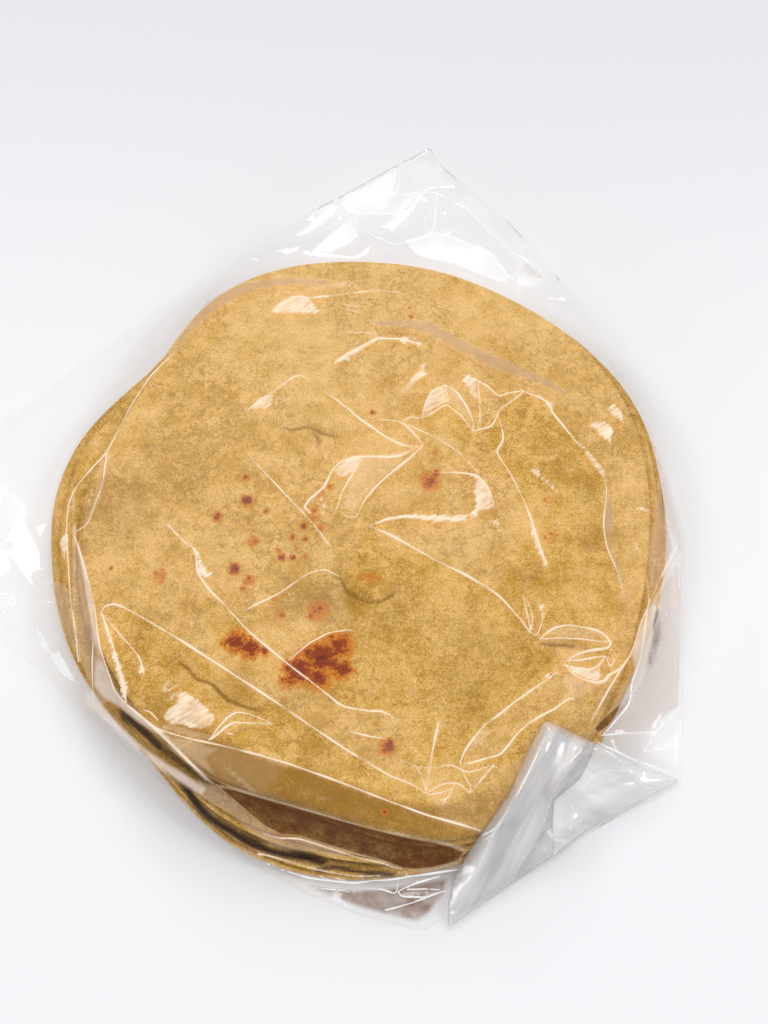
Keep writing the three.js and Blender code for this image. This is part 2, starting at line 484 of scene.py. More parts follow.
# half width in mm, darkness, height above the table in mm, places along it
SLITS = {
    "gap": (1.7, 0.95, 17, [(122, 714), (132, 722), (141, 730), (150, 738), (160, 748)]),
    "gap_end": (1.4, 0.75, 17, [(160, 748), (186, 768), (210, 786)]),
    "far_left": (1.4, 0.7, 17, [(204, 322), (185, 340), (167, 360)]),
    "low": (1.8, 1.0, 9, [
        (185, 787), (190, 793), (194, 801), (200, 808), (209, 817), (220, 825), (230, 830), (240, 837),
        (250, 843), (260, 847), (272, 852), (288, 855), (305, 857), (322, 862)]),
    "low_thin": (0.5, 0.8, 12, [(240, 832), (248, 835), (256, 839), (264, 844), (272, 847), (282, 850)]),
    "low_right": (1.0, 0.95, 6, [(318, 871), (334, 868), (350, 871), (370, 874), (392, 875)]),
}
GROOVE_SHADE, GROOVE_PAINTED_SHADE, GROOVE_SHADE_WIDTH = 0.12, 0.9, 0.8
COVERED_SHADE, PLAIN_COVERED_SHADE = 0.65, 0.12
RIM_SHADE, RIM_SHADE_WIDTH = 0.25, 6.0


def facing(plan, towards, spread):
    """One in a direction from the stack's middle, in degrees, falling to nothing at either side of it."""
    return np.exp(-(degrees_off(plan, towards) / spread) ** 4)


def past_edge(layer, plan):
    """How far a place lies outside a tortilla's edge, in mm, and less than zero inside."""
    return reach_of(plan) - edge_of(layer, turn_of(plan))


def near_rim(plan, inner, outer):
    """One at the near rim of the top tortilla, which turns down out of the light, falling off inwards."""
    return smooth_step(inner, outer, top_gap(plan)) * facing(plan, NEAR_SIDE, NEAR_SPREAD)


def shade_of(layer, plan):
    """How dark a tortilla is at each place: in grooves, in slits and where the next tortilla covers it."""
    if layer == COUNT - 1:
        return np.maximum(GROOVE_SHADE * groove_at(plan, GROOVE_SHADE_WIDTH),
                          RIM_SHADE * near_rim(plan, RIM_SHADE_WIDTH, 0))
    gap_side = facing(plan, GAP_SIDE, GAP_SPREAD)
    strength = PLAIN_COVERED_SHADE + (COVERED_SHADE - PLAIN_COVERED_SHADE) * gap_side
    covered = strength * smooth_step(COVER_OUTER, COVER_INNER, past_edge(layer + 1, plan))
    deep = GAP_DARKNESS[layer] * gap_side * smooth_step(DEEP_INNER, DEEP_OUTER, -top_gap(plan))
    shade = np.maximum(covered, deep)
    for half_width, darkness, height, path in SLITS.values():
        distance = along_stroke(plan, soften(from_photo(path, height)))[0]
        shade = np.maximum(shade, darkness * np.exp(-(distance / half_width) ** 4))
    return shade


print(len(SLITS), "slits and", len(GROOVES), "grooves")

# %% Deeper and paler patches, some of them painted shade
# place in the photograph, radius in mm, and how much deeper, or below zero how much paler, the bread is
TONES_AND_SHADE = [
    (300, 300, 26, -0.35), (390, 305, 24, -0.30), (350, 345, 16, -0.30), (530, 330, 14, -0.35),
    (290, 385, 18, -0.30), (470, 385, 14, -0.25), (350, 450, 12, -0.15), (470, 520, 14, -0.35),
    (440, 545, 14, -0.25), (200, 575, 10, -0.35), (355, 675, 8, -0.40), (355, 715, 10, -0.20),
    (620, 390, 9, -0.30), (240, 550, 12, -0.20), (110, 615, 10, -0.20), (240, 728, 8, -0.25),
    (124, 512, 18, 0.45), (140, 465, 12, 0.12), (185, 472, 10, 0.15), (588, 488, 8, 0.45),
    (592, 535, 9, 0.45), (560, 458, 9, 0.22), (320, 600, 9, 0.55), (288, 602, 8, 0.40),
    (352, 600, 8, 0.40), (380, 624, 9, 0.40), (404, 600, 11, 0.25), (440, 630, 18, 0.18),
    (482, 650, 18, 0.28), (462, 702, 16, 0.28), (530, 574, 7, 0.38), (534, 640, 10, 0.28),
    (140, 628, 8, 0.40), (235, 690, 9, 0.55), (178, 658, 9, 0.28), (290, 692, 8, 0.22),
    (440, 482, 7, 0.18), (315, 752, 11, 0.35), (380, 756, 7, 0.30), (245, 422, 10, 0.20),
    (530, 432, 9, 0.18), (622, 690, 7, 0.40), (590, 722, 7, 0.50), (640, 495, 7, 0.25),
    (205, 765, 9, 0.35), (250, 772, 7, 0.30), (624, 600, 8, 0.22), (626, 645, 7, 0.22), (614, 694, 7, 0.35),
]
TONE_AND_SHADE_PLACES = from_photo([tone_and_shade[:2] for tone_and_shade in TONES_AND_SHADE], TOP_HEIGHT)
# the near rim, the grooves and the rounded edges of the lower tortillas get a deeper bronze as painted shade
RIM_PAINTED_SHADE, RIM_PAINTED_SHADE_INNER, RIM_PAINTED_SHADE_OUTER = 1.0, 18.0, 13.0
EDGE_PAINTED_SHADE, EDGE_PAINTED_SHADE_INNER, EDGE_PAINTED_SHADE_OUTER = 0.15, 4.5, 0.5


def tone_and_shade_of(layer, plan):
    """Painted shade at edges, under the next tortilla, at the near rim, in grooves, and the top's patches."""
    if layer < COUNT - 1:
        bare = np.minimum(-past_edge(layer, plan), past_edge(layer + 1, plan))
        return EDGE_PAINTED_SHADE * smooth_step(EDGE_PAINTED_SHADE_INNER, EDGE_PAINTED_SHADE_OUTER, bare)
    tone_and_shade = RIM_PAINTED_SHADE * near_rim(plan, RIM_PAINTED_SHADE_INNER, RIM_PAINTED_SHADE_OUTER)
    tone_and_shade = tone_and_shade + GROOVE_PAINTED_SHADE * groove_at(plan, GROOVE_SHADE_WIDTH)
    for place, (_, _, radius, strength) in zip(TONE_AND_SHADE_PLACES, TONES_AND_SHADE):
        away = np.hypot(*(plan - place).T)
        tone_and_shade = tone_and_shade + strength * np.exp(-(away / radius) ** 2)
    return tone_and_shade


print(len(TONES_AND_SHADE), "patches of tone")

# %% [markdown]
# ## The tortillas
# Each tortilla is a square grid pressed into a disc: the square's rows bend into arcs, so there is no pole
# in the middle. Rows crowd towards the rim, where the sheet's edge rounds over. A second copy makes the
# underside, and the two are joined along the rim.

# %% Tortilla meshes
FINE_CELLS, PLAIN_CELLS = 150, 110
RIM_ROUND = 1.5
CROWDING = 1.35
SPOT_REACH, SPOT_MARGIN = 1.5, 0.6
GROOVE_REACHES = (4.0, 2.0)
FIRST_SEED = 40


def disc_sheet(name, layer, cells, face):
    """One face of a tortilla: face 1 is the upper side and face 0 the underside."""
    bpy.ops.object.select_all(action="DESELECT")
    bpy.ops.mesh.primitive_grid_add(x_subdivisions=cells, y_subdivisions=cells, size=2)
    piece = bpy.context.object
    piece.name = name
    square = points(piece)[:, :2] * MM
    disc = square * np.sqrt(1 - square[:, ::-1] ** 2 / 2)
    angle = turn_of(disc)
    share = 1 - (1 - np.minimum(reach_of(disc), 1)) ** CROWDING
    edge = edge_of(layer, angle)
    plan = np.stack((np.cos(angle), np.sin(angle)), 1) * (share * edge)[:, None]
    past = np.clip(1 - (1 - share) * edge / RIM_ROUND, 0, 1)
    half = 0.5 * sheet_thickness(plan)
    height = under_height(layer, plan) + half + (2 * face - 1) * half * np.sqrt(1 - past ** 2)
    if face and layer == COUNT - 1:
        height += top_relief(plan) * (1 - past ** 2)
    put_points(piece, np.column_stack((plan, height)))
    return piece


def divide_at_spots(piece):
    """Halves the cells of a sheet that lie within a spot or just beside it."""
    centres = face_centres(piece)
    near = np.zeros(len(centres), bool)
    for place, radius in zip(SPOT_PLACES, SPOT_RADII):
        near |= np.hypot(*(centres - place).T) < SPOT_REACH * radius + SPOT_MARGIN
    edit_faces(piece, near, bpy.ops.mesh.subdivide, number_cuts=1)


def settle_points(piece, layer):
    """Gives the points that division added their own relief, away from the rounded rim."""
    places = points(piece)
    plan = places[:, :2]
    flat = top_gap(plan) > 2 * RIM_ROUND
    height = under_height(layer, plan) + sheet_thickness(plan) + top_relief(plan)
    places[flat, 2] = height[flat]
    put_points(piece, places)


tortillas = []
for layer in range(COUNT):
    name = f"tortilla_{layer + 1}"
    top_one = layer == COUNT - 1
    cells = FINE_CELLS if top_one else PLAIN_CELLS
    upper = disc_sheet(name, layer, cells, 1)
    if top_one:
        divide_at_spots(upper)
        for groove_reach in GROOVE_REACHES:
            divide_near(upper, GROOVE_PATHS, groove_reach, top_gap)
        settle_points(upper, layer)
    tortilla = shut(upper, disc_sheet(name + "_under", layer, cells, 0))
    tortilla.data.name = name
    plan = points(tortilla)[:, :2]
    spots = (SPOT_PLACES, [spot[2:] for spot in SPOTS]) if top_one else scattered_spots(FIRST_SEED + layer)
    write_field(tortilla, "burn", burnt(plan, *spots))
    write_field(tortilla, "shade", shade_of(layer, plan))
    write_field(tortilla, "tone_and_shade", tone_and_shade_of(layer, plan))
    tortillas.append(tortilla)
print("tortillas:", [len(tortilla.data.polygons) for tortilla in tortillas], "faces")

# %% [markdown]
# ## The bag's outline
# The bag is a square of film laid cornerwise. Its edge runs straight between the corners, and bows out
# where the stack fills it. The corners lift a little off the table.

# %% Outline and edge heights of the bag
# place and height of each corner, and how far the edge after it bows out, in mm
CORNERS = {
    "right": ((142, 10), 1.5, 20), "far_side": ((36.5, 195), 8, 1), "far": ((29, 206), 9, 12),
    "left": ((-221, 12), 7, -3), "hip": ((-72, -115), 1.5, 8), "toe": ((24, -162), 1.5, 0),
    "mouth": ((135.5, -97.5), 1.5, 0),
}
EDGE_STEP, EDGE_LIFT = 0.5, 1.2


def bag_edge():
    """Points along the bag's outline, with the film's height at each."""
    plan, lift = [], []
    corners = list(CORNERS.values())
    for (start, start_lift, bulge), (end, end_lift, _) in zip(corners, corners[1:] + corners[:1]):
        start, end = np.array(start, float), np.array(end, float)
        run = end - start
        length = np.hypot(*run)
        share = np.arange(0, 1, EDGE_STEP / length)
        outward = np.array((run[1], -run[0])) / length
        bow = 4 * share * (1 - share) * bulge
        plan.append(start + np.outer(share, run) + np.outer(bow, outward))
        near, far = smooth_step(0, 1, 1 - share) ** 2, smooth_step(0, 1, share) ** 2
        lift.append(EDGE_LIFT + (start_lift - EDGE_LIFT) * near + (end_lift - EDGE_LIFT) * far)
    return np.concatenate(plan), np.concatenate(lift)


bag_outline, bag_lift = bag_edge()
by_angle = np.argsort(turn_of(bag_outline))
outline_angle = turn_of(bag_outline)[by_angle]
outline_reach = reach_of(bag_outline)[by_angle]
outline_lift = bag_lift[by_angle]


def bag_reach(angle):
    return np.interp(angle, outline_angle, outline_reach, period=2 * math.pi)


def bag_gap(plan):
    """How far a place lies inside the bag's edge, in mm."""
    return bag_reach(turn_of(plan)) - reach_of(plan)


def edge_height(angle):
    """Height of the film along the bag's edge, which is a little wavy."""
    lift = np.interp(angle, outline_angle, outline_lift, period=2 * math.pi)
    return lift + 0.5 * np.sin(23 * angle) + 0.35 * np.sin(37 * angle + 1)


print("outline of", len(bag_outline), "points")

# %% [markdown]
# ## Film at rest
# Film that clings to a stack behaves like a stretched skin held up by the bread and pinned at the bag's
# edge. A skin's height is the mean of its neighbours' heights, so a table of heights is averaged over and
# over and never let below the bread. The bread is widened by one cell first and the settled film is evened
# after, so that its steep sides have no steps. Cloth simulation gives soft folds, which film doesn't have.

# %% Settle the film over the stack
STEP = 2.0
CLING = 0.4
UNDER_STACK = 0.12
ROUNDS = 2500
FIRST_HEIGHT, LOOSE_HEIGHT = 8.0, 0.6
grid_x = np.arange(-240, 162, STEP)
grid_y = np.arange(-184, 228, STEP)
grid_plan = np.stack(np.meshgrid(grid_x, grid_y, indexing="ij"), -1)
grid_inside = bag_gap(grid_plan) > 0
grid_edge = edge_height(turn_of(grid_plan))


def neighbour_sum(table):
    """Sum of the four cells beside each cell."""
    return np.roll(table, 1, 0) + np.roll(table, -1, 0) + np.roll(table, 1, 1) + np.roll(table, -1, 1)


def settle(film, low, high):
    """Averages a sheet of film over and over, pinned at the bag's edge and kept between two heights."""
    for _ in range(ROUNDS):
        film = np.where(grid_inside, np.clip(neighbour_sum(film) / 4, low, high), grid_edge)
    return film


def at_plan(table, plan):
    """Reads a table of heights between its cells."""
    place = (plan - (grid_x[0], grid_y[0])) / STEP
    cell = np.clip(np.floor(place).astype(int), 0, np.array(table.shape) - 2)
    fx, fy = (place - cell).T
    i, j = cell.T
    near = table[i, j] * (1 - fy) + table[i, j + 1] * fy
    far = table[i + 1, j] * (1 - fy) + table[i + 1, j + 1] * fy
    return near * (1 - fx) + far * fx


def seen_on_film(pixels, lift=0.0):
    """Plan places where the camera sees the resting film at these pixels, or a crest that stands above it."""
    height = np.full(len(pixels), TOP_HEIGHT)
    for _ in range(12):
        plan = from_photo(pixels, height)
        height = 0.5 * (height + lift + at_plan(over_film, plan))
    return plan


def widened(table):
    """The highest of each cell and its eight neighbours."""
    for axis in (0, 1):
        table = np.maximum(table, np.maximum(np.roll(table, 1, axis), np.roll(table, -1, axis)))
    return table


def evened(table):
    """Averages each cell inside the bag with its neighbours once, which rounds the corners off steps."""
    return np.where(grid_inside, 0.5 * table + neighbour_sum(table) / 8, table)


bread = bread_height(grid_plan.reshape(-1, 2)).reshape(grid_inside.shape)
held_up = widened(bread)
lowest = np.where(held_up > 0, held_up + CLING, LOOSE_HEIGHT)
over_film = evened(evened(settle(np.maximum(held_up, FIRST_HEIGHT), lowest, np.inf)))
pressed = np.where(bread > 0, UNDER_STACK, np.inf)
under_film = settle(np.minimum(grid_edge, pressed), UNDER_STACK, pressed)
print("film settles at", np.round(over_film.max(), 1), "mm")

# %% [markdown]
# ## Creases
# Stiff film folds along sharp lines, and those lines catch the light; the bright line along each crest is
# partly the whitening of creased film and partly a painted highlight. Each crease is a stroke read from the
# photograph, with a height and a width on either hand. The film rises straight to the stroke like a tent
# to its ridge pole. Between the strokes, shallow domes that meet in sharp valleys give the crumpled look.

# %% Strokes over the stack and on the loose corners
# name: height in mm, width to the left and right of it, half width of its painted bright line, places along
# it
TOP_CREASES = {
    "long_loop": (3.0, 20, 5, 0.6, [
        (100, 611), (105, 605), (114, 604), (123, 607), (140, 616), (188, 645), (239, 678), (290, 712),
        (345, 749), (389, 776), (414, 785), (426, 793)]),
    "loop_leg": (2.6, 4, 8, 0.5, [(101, 612), (112, 642), (122, 678), (126, 703)]),
    "loop_inner": (1.8, 4, 4, 0.45, [(103, 614), (116, 630), (133, 649), (140, 658), (144, 675)]),
    "blotch_run": (2.6, 6, 10, 0.5, [
        (166, 522), (182, 540), (196, 550), (197, 573), (209, 590), (224, 604), (248, 631), (290, 666),
        (326, 694), (342, 707), (370, 712), (380, 712), (392, 716), (398, 721)]),
    "blotch_fork": (1.8, 5, 5, 0.4, [(288, 661), (308, 645), (329, 633), (352, 629)]),
    "low_stub": (1.2, 4, 4, 0.5, [(350, 732), (370, 737), (385, 739)]),
    "straight": (1.4, 4, 4, 0.4, [(251, 458), (280, 489), (311, 521), (331, 547)]),
    "dimple_edge": (1.8, 6, 4, 0.4, [(242, 611), (278, 594), (309, 573), (326, 570), (341, 577)]),
    "cream_loop": (2.2, 5, 9, 0.6, [
        (311, 512), (304, 507), (309, 500), (324, 487), (332, 470), (340, 462), (353, 457), (372, 456),
        (390, 457), (402, 455), (413, 448)]),
    "cream_line": (1.2, 3, 3, 0.45, [(363, 457), (355, 470), (341, 493), (339, 503), (330, 523)]),
    "node_curl": (1.2, 3, 3, 0.45, [(340, 510), (344, 515), (350, 517), (355, 516)]),
    "node_leg": (2.4, 4, 7, 0.65, [(356, 516), (366, 498), (378, 484), (393, 471), (410, 458), (423, 444)]),
    "node_upper": (2.4, 6, 4, 0.55, [(324, 390), (348, 409), (361, 420), (386, 437), (402, 445), (419, 446)]),
    "node_corner": (1.8, 4, 4, 0.45, [(378, 418), (392, 420), (402, 422), (418, 437), (423, 444)]),
    "lens_arc": (2.4, 4, 10, 0.5, [(436, 471), (464, 473), (477, 475), (487, 486), (493, 500), (494, 509)]),
    "lens_base": (1.8, 6, 5, 0.6, [(370, 525), (387, 519), (407, 516), (433, 519), (466, 519)]),
    "long_right": (3.4, 24, 5, 0.6, [
        (370, 525), (402, 541), (435, 560), (462, 573), (496, 593), (510, 607), (523, 622), (531, 632)]),
    "blade": (1.2, 3, 3, 0.4, [(522, 594), (527, 614), (531, 632), (533, 617), (529, 605), (522, 594)]),
    "blade_foot": (1.0, 3, 3, 0.4, [(531, 632), (537, 636), (543, 620), (540, 610)]),
    "leaf_upper": (3.0, 5, 5, 0.65, [
        (540, 638), (546, 633), (554, 628), (566, 625), (576, 626), (592, 629), (602, 633), (608, 639),
        (611, 643), (609, 647), (605, 649), (588, 651), (575, 655), (567, 660)]),
    "leaf_lower": (1.5, 3, 3, 0.45, [(540, 639), (561, 638), (581, 639), (610, 643)]),
    "pocket_mid": (2.0, 4, 4, 0.6, [
        (567, 660), (581, 660), (597, 657), (605, 656), (601, 663), (595, 668), (588, 670), (576, 668),
        (565, 664)]),
    "pocket_lower": (2.4, 4, 4, 0.7, [
        (565, 664), (574, 675), (585, 680), (597, 683), (605, 681), (609, 675), (617, 671), (623, 666),
        (631, 654)]),
    "pocket_tick": (1.4, 3, 3, 0.45, [
        (607, 649), (612, 655), (615, 661), (610, 667), (608, 661), (605, 656)]),
    "tent_left": (3.4, 6, 6, 0.5, [(400, 422), (409, 416), (422, 419), (425, 404), (432, 391), (445, 383)]),
    "tent_fall": (3.0, 5, 5, 0.5, [(445, 383), (456, 391), (467, 407), (474, 422), (473, 429)]),
    "tent_foot": (2.4, 4, 4, 0.5, [(422, 419), (435, 411), (446, 404), (461, 415), (473, 429)]),
    "tent_ridge": (2.0, 4, 4, 0.4, [(445, 383), (449, 403)]),
    "tent_middle": (3.2, 5, 5, 0.55, [
        (473, 429), (491, 427), (496, 419), (499, 410), (510, 403), (523, 391)]),
    "tent_post": (1.6, 3, 3, 0.4, [(478, 382), (480, 404), (480, 425)]),
    "tent_top": (2.8, 5, 5, 0.5, [(464, 374), (480, 382), (489, 388), (499, 397), (508, 393), (523, 390)]),
    "tent_right": (3.4, 7, 7, 0.5, [(523, 390), (536, 396), (547, 402), (553, 414), (575, 440), (606, 480)]),
    "zig_leg": (2.8, 5, 9, 0.45, [
        (498, 414), (503, 433), (503, 441), (496, 452), (512, 476), (524, 501), (531, 519), (540, 548),
        (548, 567)]),
    "thin_arc": (1.4, 4, 4, 0.35, [(402, 422), (436, 437), (458, 451), (480, 474)]),
    "upper_patch": (1.6, 5, 8, 0.35, [
        (271, 311), (280, 303), (294, 297), (304, 296), (311, 301), (319, 311)]),
    "upper_line": (1.6, 5, 5, 0.6, [(307, 297), (329, 296), (365, 291), (380, 290), (399, 291)]),
    "upper_tick": (0.8, 3, 3, 0.45, [(342, 303), (351, 305), (362, 307)]),
    "upper_thread": (0.8, 3, 3, 0.35, [(339, 307), (355, 311), (366, 315)]),
    "upper_sweep": (2.0, 6, 6, 0.5, [(334, 362), (348, 353), (362, 346), (376, 339), (401, 339), (422, 345)]),
    "sweep_thread": (0.8, 3, 3, 0.3, [(347, 332), (362, 334), (378, 336)]),
    "left_hook": (2.0, 5, 7, 0.5, [(247, 409), (259, 400), (272, 392), (294, 377), (301, 375), (308, 378)]),
    "mauve_band": (4.0, 15, 15, 0.0, [
        (350, 326), (380, 326), (417, 326), (442, 338), (474, 355), (511, 371), (563, 392)]),
    "band_upper": (2.6, 5, 10, 0.65, [
        (545, 680), (528, 693), (512, 704), (499, 715), (486, 723), (473, 739), (464, 752), (460, 763)]),
    "band_lower": (2.6, 10, 5, 0.65, [
        (574, 698), (569, 698), (555, 709), (543, 715), (528, 724), (517, 734), (508, 746), (500, 755),
        (484, 759), (468, 763)]),
    "zig_a": (2.0, 4, 4, 0.4, [(400, 759), (417, 767), (423, 779), (426, 792)]),
    "zig_b": (2.0, 4, 4, 0.65, [(439, 721), (434, 743), (430, 765), (426, 792)]),
    "zig_c": (2.0, 4, 4, 0.5, [
        (426, 793), (442, 784), (456, 783), (464, 787), (470, 794), (481, 780), (494, 765), (500, 770)]),
    "zig_d": (1.0, 3, 3, 0.5, [(427, 795), (440, 793), (451, 789)]),
    "zig_e": (1.0, 3, 3, 0.5, [(456, 783), (450, 793), (443, 804)]),
    "zig_f": (0.8, 3, 3, 0.5, [(434, 800), (443, 800), (449, 797)]),
    "zig_top": (1.4, 4, 4, 0.3, [(417, 767), (432, 768), (452, 765), (461, 770), (470, 773), (495, 764)]),
    "zig_in": (1.0, 3, 3, 0.4, [(461, 770), (471, 787), (470, 794)]),
    "near_line": (2.4, 5, 7, 0.55, [
        (127, 704), (143, 718), (157, 730), (189, 739), (224, 746), (256, 754), (290, 764), (334, 780),
        (370, 794), (426, 815), (444, 820), (481, 830)]),
    "small_leaf": (1.8, 4, 4, 0.45, [(209, 740), (218, 728), (228, 717), (237, 712), (249, 714), (273, 723)]),
    "small_leaf_foot": (1.4, 3, 3, 0.65, [(210, 740), (232, 722), (249, 723), (273, 724)]),
    "leaf_bud": (0.8, 3, 3, 0.9, [(227, 733), (234, 734)]),
    "comb_curl": (0.8, 3, 3, 0.8, [(145, 711), (149, 711), (158, 720)]),
    "right_fold": (2.6, 6, 8, 0.3, [(606, 480), (607, 493), (603, 525), (607, 549), (618, 573), (625, 596)]),
    "right_tick": (1.6, 4, 4, 0.4, [(637, 507), (652, 512)]),
    "right_sweep": (2.0, 6, 4, 0.45, [
        (635, 541), (642, 561), (647, 590), (647, 609), (640, 625), (632, 653), (611, 685), (592, 720)]),
}
FLAP_CREASES = {
    "far_ridge": (3.0, 6, 12, 0.5, [
        (335, 191), (352, 211), (400, 216), (416, 190), (436, 190), (477, 225), (528, 256), (545, 274)]),
    "far_lens": (2.0, 6, 6, 0.4, [
        (354, 214), (362, 230), (380, 241), (398, 245), (424, 237), (434, 231), (437, 192)]),
    "far_right": (2.0, 6, 6, 0.4, [(435, 231), (477, 247), (514, 275), (545, 274)]),
    "far_facet": (2.4, 6, 6, 0.4, [(400, 160), (399, 186), (383, 200), (345, 202)]),
    "flap_line": (1.2, 10, 14, 0.0, [(8, 488), (60, 437), (133, 372), (240, 288), (300, 250), (352, 211)]),
    "flap_line_two": (1.0, 10, 10, 0.0, [(62, 438), (58, 500), (36, 545)]),
    "left_stripe": (1.2, 10, 12, 0.0, [(0, 462), (14, 500), (28, 530), (46, 566)]),
    "left_pocket": (1.8, 7, 7, 0.3, [(36, 628), (48, 650), (62, 662), (78, 684)]),
    "left_low": (1.0, 10, 10, 0.0, [(0, 598), (20, 612), (44, 622), (48, 585)]),
    "mouth_ridge": (4.0, 8, 10, 0.5, [(597, 739), (625, 755), (648, 764), (684, 778)]),
    "mouth_flash": (2.4, 6, 6, 0.5, [(645, 749), (679, 704)]),
    "mouth_flash_two": (2.0, 5, 5, 0.5, [(645, 750), (682, 748)]),
    "mouth_line": (2.2, 6, 6, 0.5, [(601, 734), (640, 733), (660, 731)]),
    "right_edge_fold": (2.4, 8, 8, 0.5, [(647, 609), (656, 588), (668, 565), (683, 535)]),
    "right_drop": (1.6, 5, 5, 0.4, [(664, 525), (670, 536), (676, 549)]),
    "right_hang": (1.6, 5, 5, 0.4, [(678, 556), (678, 600), (679, 650), (681, 700)]),
    "right_low_fold": (2.4, 8, 8, 0.4, [(646, 612), (640, 660), (632, 682), (630, 705), (604, 733)]),
    "toe_fold": (2.0, 5, 5, 0.45, [
        (223, 842), (270, 866), (310, 878), (350, 881), (394, 880), (431, 874), (459, 868)]),
    "toe_ray": (1.6, 5, 5, 0.5, [(358, 920), (370, 914), (417, 902), (447, 890)]),
    "toe_fan": (1.4, 4, 4, 0.5, [(440, 876), (397, 891), (402, 897), (429, 898)]),
    "toe_stub": (1.0, 3, 3, 0.6, [(407, 890), (440, 890)]),
    "toe_tick": (1.0, 3, 3, 0.5, [(366, 888), (382, 889), (396, 894), (398, 884)]),
    "toe_left": (1.0, 3, 3, 0.5, [(318, 888), (345, 889), (349, 891)]),
}
SIDE_CREASES = {
    "left_seam": (2.0, 5, 5, 0.4, [
        (175, 352), (150, 376), (132, 404), (107, 452), (90, 471), (74, 490), (68, 507), (66, 532), (70, 591),
        (74, 620), (78, 662)]),
    "left_inner": (1.6, 4, 4, 0.35, [(107, 452), (103, 484), (94, 507), (87, 525), (75, 531)]),
    "left_run": (2.0, 4, 5, 0.4, [
        (74, 534), (82, 559), (94, 601), (99, 645), (109, 675), (115, 692), (127, 705)]),
    "left_second": (1.2, 3, 3, 0.4, [(93, 641), (94, 698)]),
    "gap_seam": (2.0, 3, 4, 0.4, [(127, 705), (143, 719), (159, 733), (179, 752), (205, 777), (214, 783)]),
    "drape_upper": (0.8, 6, 6, 0.01, [
        (214, 783), (250, 793), (290, 805), (330, 817), (364, 826), (408, 836), (449, 844), (468, 850)]),
    "drape_lower": (1.2, 6, 6, 0.0, [(152, 766), (179, 779), (218, 806), (240, 820), (258, 836), (281, 840)]),
    "drape_run": (1.4, 6, 6, 0.35, [
        (262, 832), (281, 838), (300, 839), (320, 845), (345, 853), (375, 862), (402, 870)]),
    "low_rim": (1.0, 4, 4, 0.25, [
        (226, 845), (244, 851), (264, 855), (280, 859), (305, 866), (330, 871), (355, 875), (380, 876)]),
}
CREST_SHARE = 0.8


def strokes_of(creases):
    """The strokes as paths on the plan, where the camera sees their crests."""
    return [(*shape, soften(seen_on_film(path, CREST_SHARE * shape[0]))) for *shape, path in creases.values()]


strokes = strokes_of(TOP_CREASES) + strokes_of(SIDE_CREASES)
flap_strokes = strokes_of(FLAP_CREASES)
print(len(strokes), "creases over the stack and", len(flap_strokes), "on the loose film")

# %% How film rises to a crease
CREST_ROUND = 0.3
END_TAPER = 9.0
FIELD_LIMIT = 3.0
CRUMPLE_CORNER, CRUMPLE_SPAN = np.array((-240, -180)), 400
# seed, spacing in mm and steepness of the crumple over the bread and of the one on the loose film
SMALL_CRUMPLE, LARGE_CRUMPLE = (21, 26, 0.006), (31, 34, 0.0075)
SMALL_SHARE, SMALL_DROP = 0.22, 0.3
LOOSE_FROM, LOOSE_TO = 0.97, 1.12
EDGE_ROOM = 10.0
OVER_BREAD, OVER_UNDER = 0.2, 0.15
FLAP_LINES_FROM = 0.15
# the far left flap is calmer: its side and spread in degrees, and the share of crumple that it lacks
FLAP_SIDE, FLAP_SPREAD, FLAP_CALM = 166, 24, 0.75


def crease_rise(plan, all_strokes):
    """Height that creases add to the film, and how deep inside a bright crease line each place is, in mm."""
    rise = np.zeros(len(plan))
    depth = np.full(len(plan), -FIELD_LIMIT)
    for index, (height, left, right, line, path) in enumerate(all_strokes):
        box = near_stroke(plan, path, max(left, right))
        distance, side, run, length = along_stroke(plan[box], path)
        taper = np.clip(np.minimum(run, length - run) / END_TAPER + 0.2, 0, 1)
        ebb = 0.7 + 0.3 * np.sin(run / 4.1 + 1.7 * index) * np.sin(run / 9.7 + index)
        round_off = np.sqrt(distance ** 2 + CREST_ROUND ** 2) - CREST_ROUND
        slope = np.clip(1 - round_off / np.where(side > 0, left, right), 0, 1) ** 1.4
        rise[box] = np.maximum(rise[box], height * taper * (0.7 + 0.3 * ebb) * slope)
        if line > 0:
            depth[box] = np.maximum(depth[box], line * (0.3 + 0.7 * taper) * ebb - distance)
    return rise, depth


def pillows(plan, seed, spacing, steepness):
    """Shallow domes that meet in sharp valleys."""
    pick = np.random.default_rng(seed)
    count = int(CRUMPLE_SPAN ** 2 / spacing ** 2)
    sites = pick.uniform(CRUMPLE_CORNER, CRUMPLE_CORNER + CRUMPLE_SPAN, (count, 2))
    tilts = pick.normal(0, 0.5 * steepness * spacing, (count, 2))
    height = np.full(len(plan), -np.inf)
    for site, tilt in zip(sites, tilts):
        away = plan - site
        height = np.maximum(height, away @ tilt - steepness * (away ** 2).sum(1))
    return height


def crumple(plan, seed, spacing, steepness):
    """Domes and hollows that meet in sharp lines."""
    return pillows(plan, seed, spacing, steepness) - pillows(plan, seed + 1, spacing, steepness)


def film_floor(plan, room):
    """The lowest that the upper film may lie: just over the bread, or over the under sheet beside it."""
    bread_top = bread_height(plan)
    on_bread = np.where(bread_top > 0, bread_top + OVER_BREAD, 0)
    return np.maximum(at_plan(under_film, plan) + OVER_UNDER * room, on_bread)


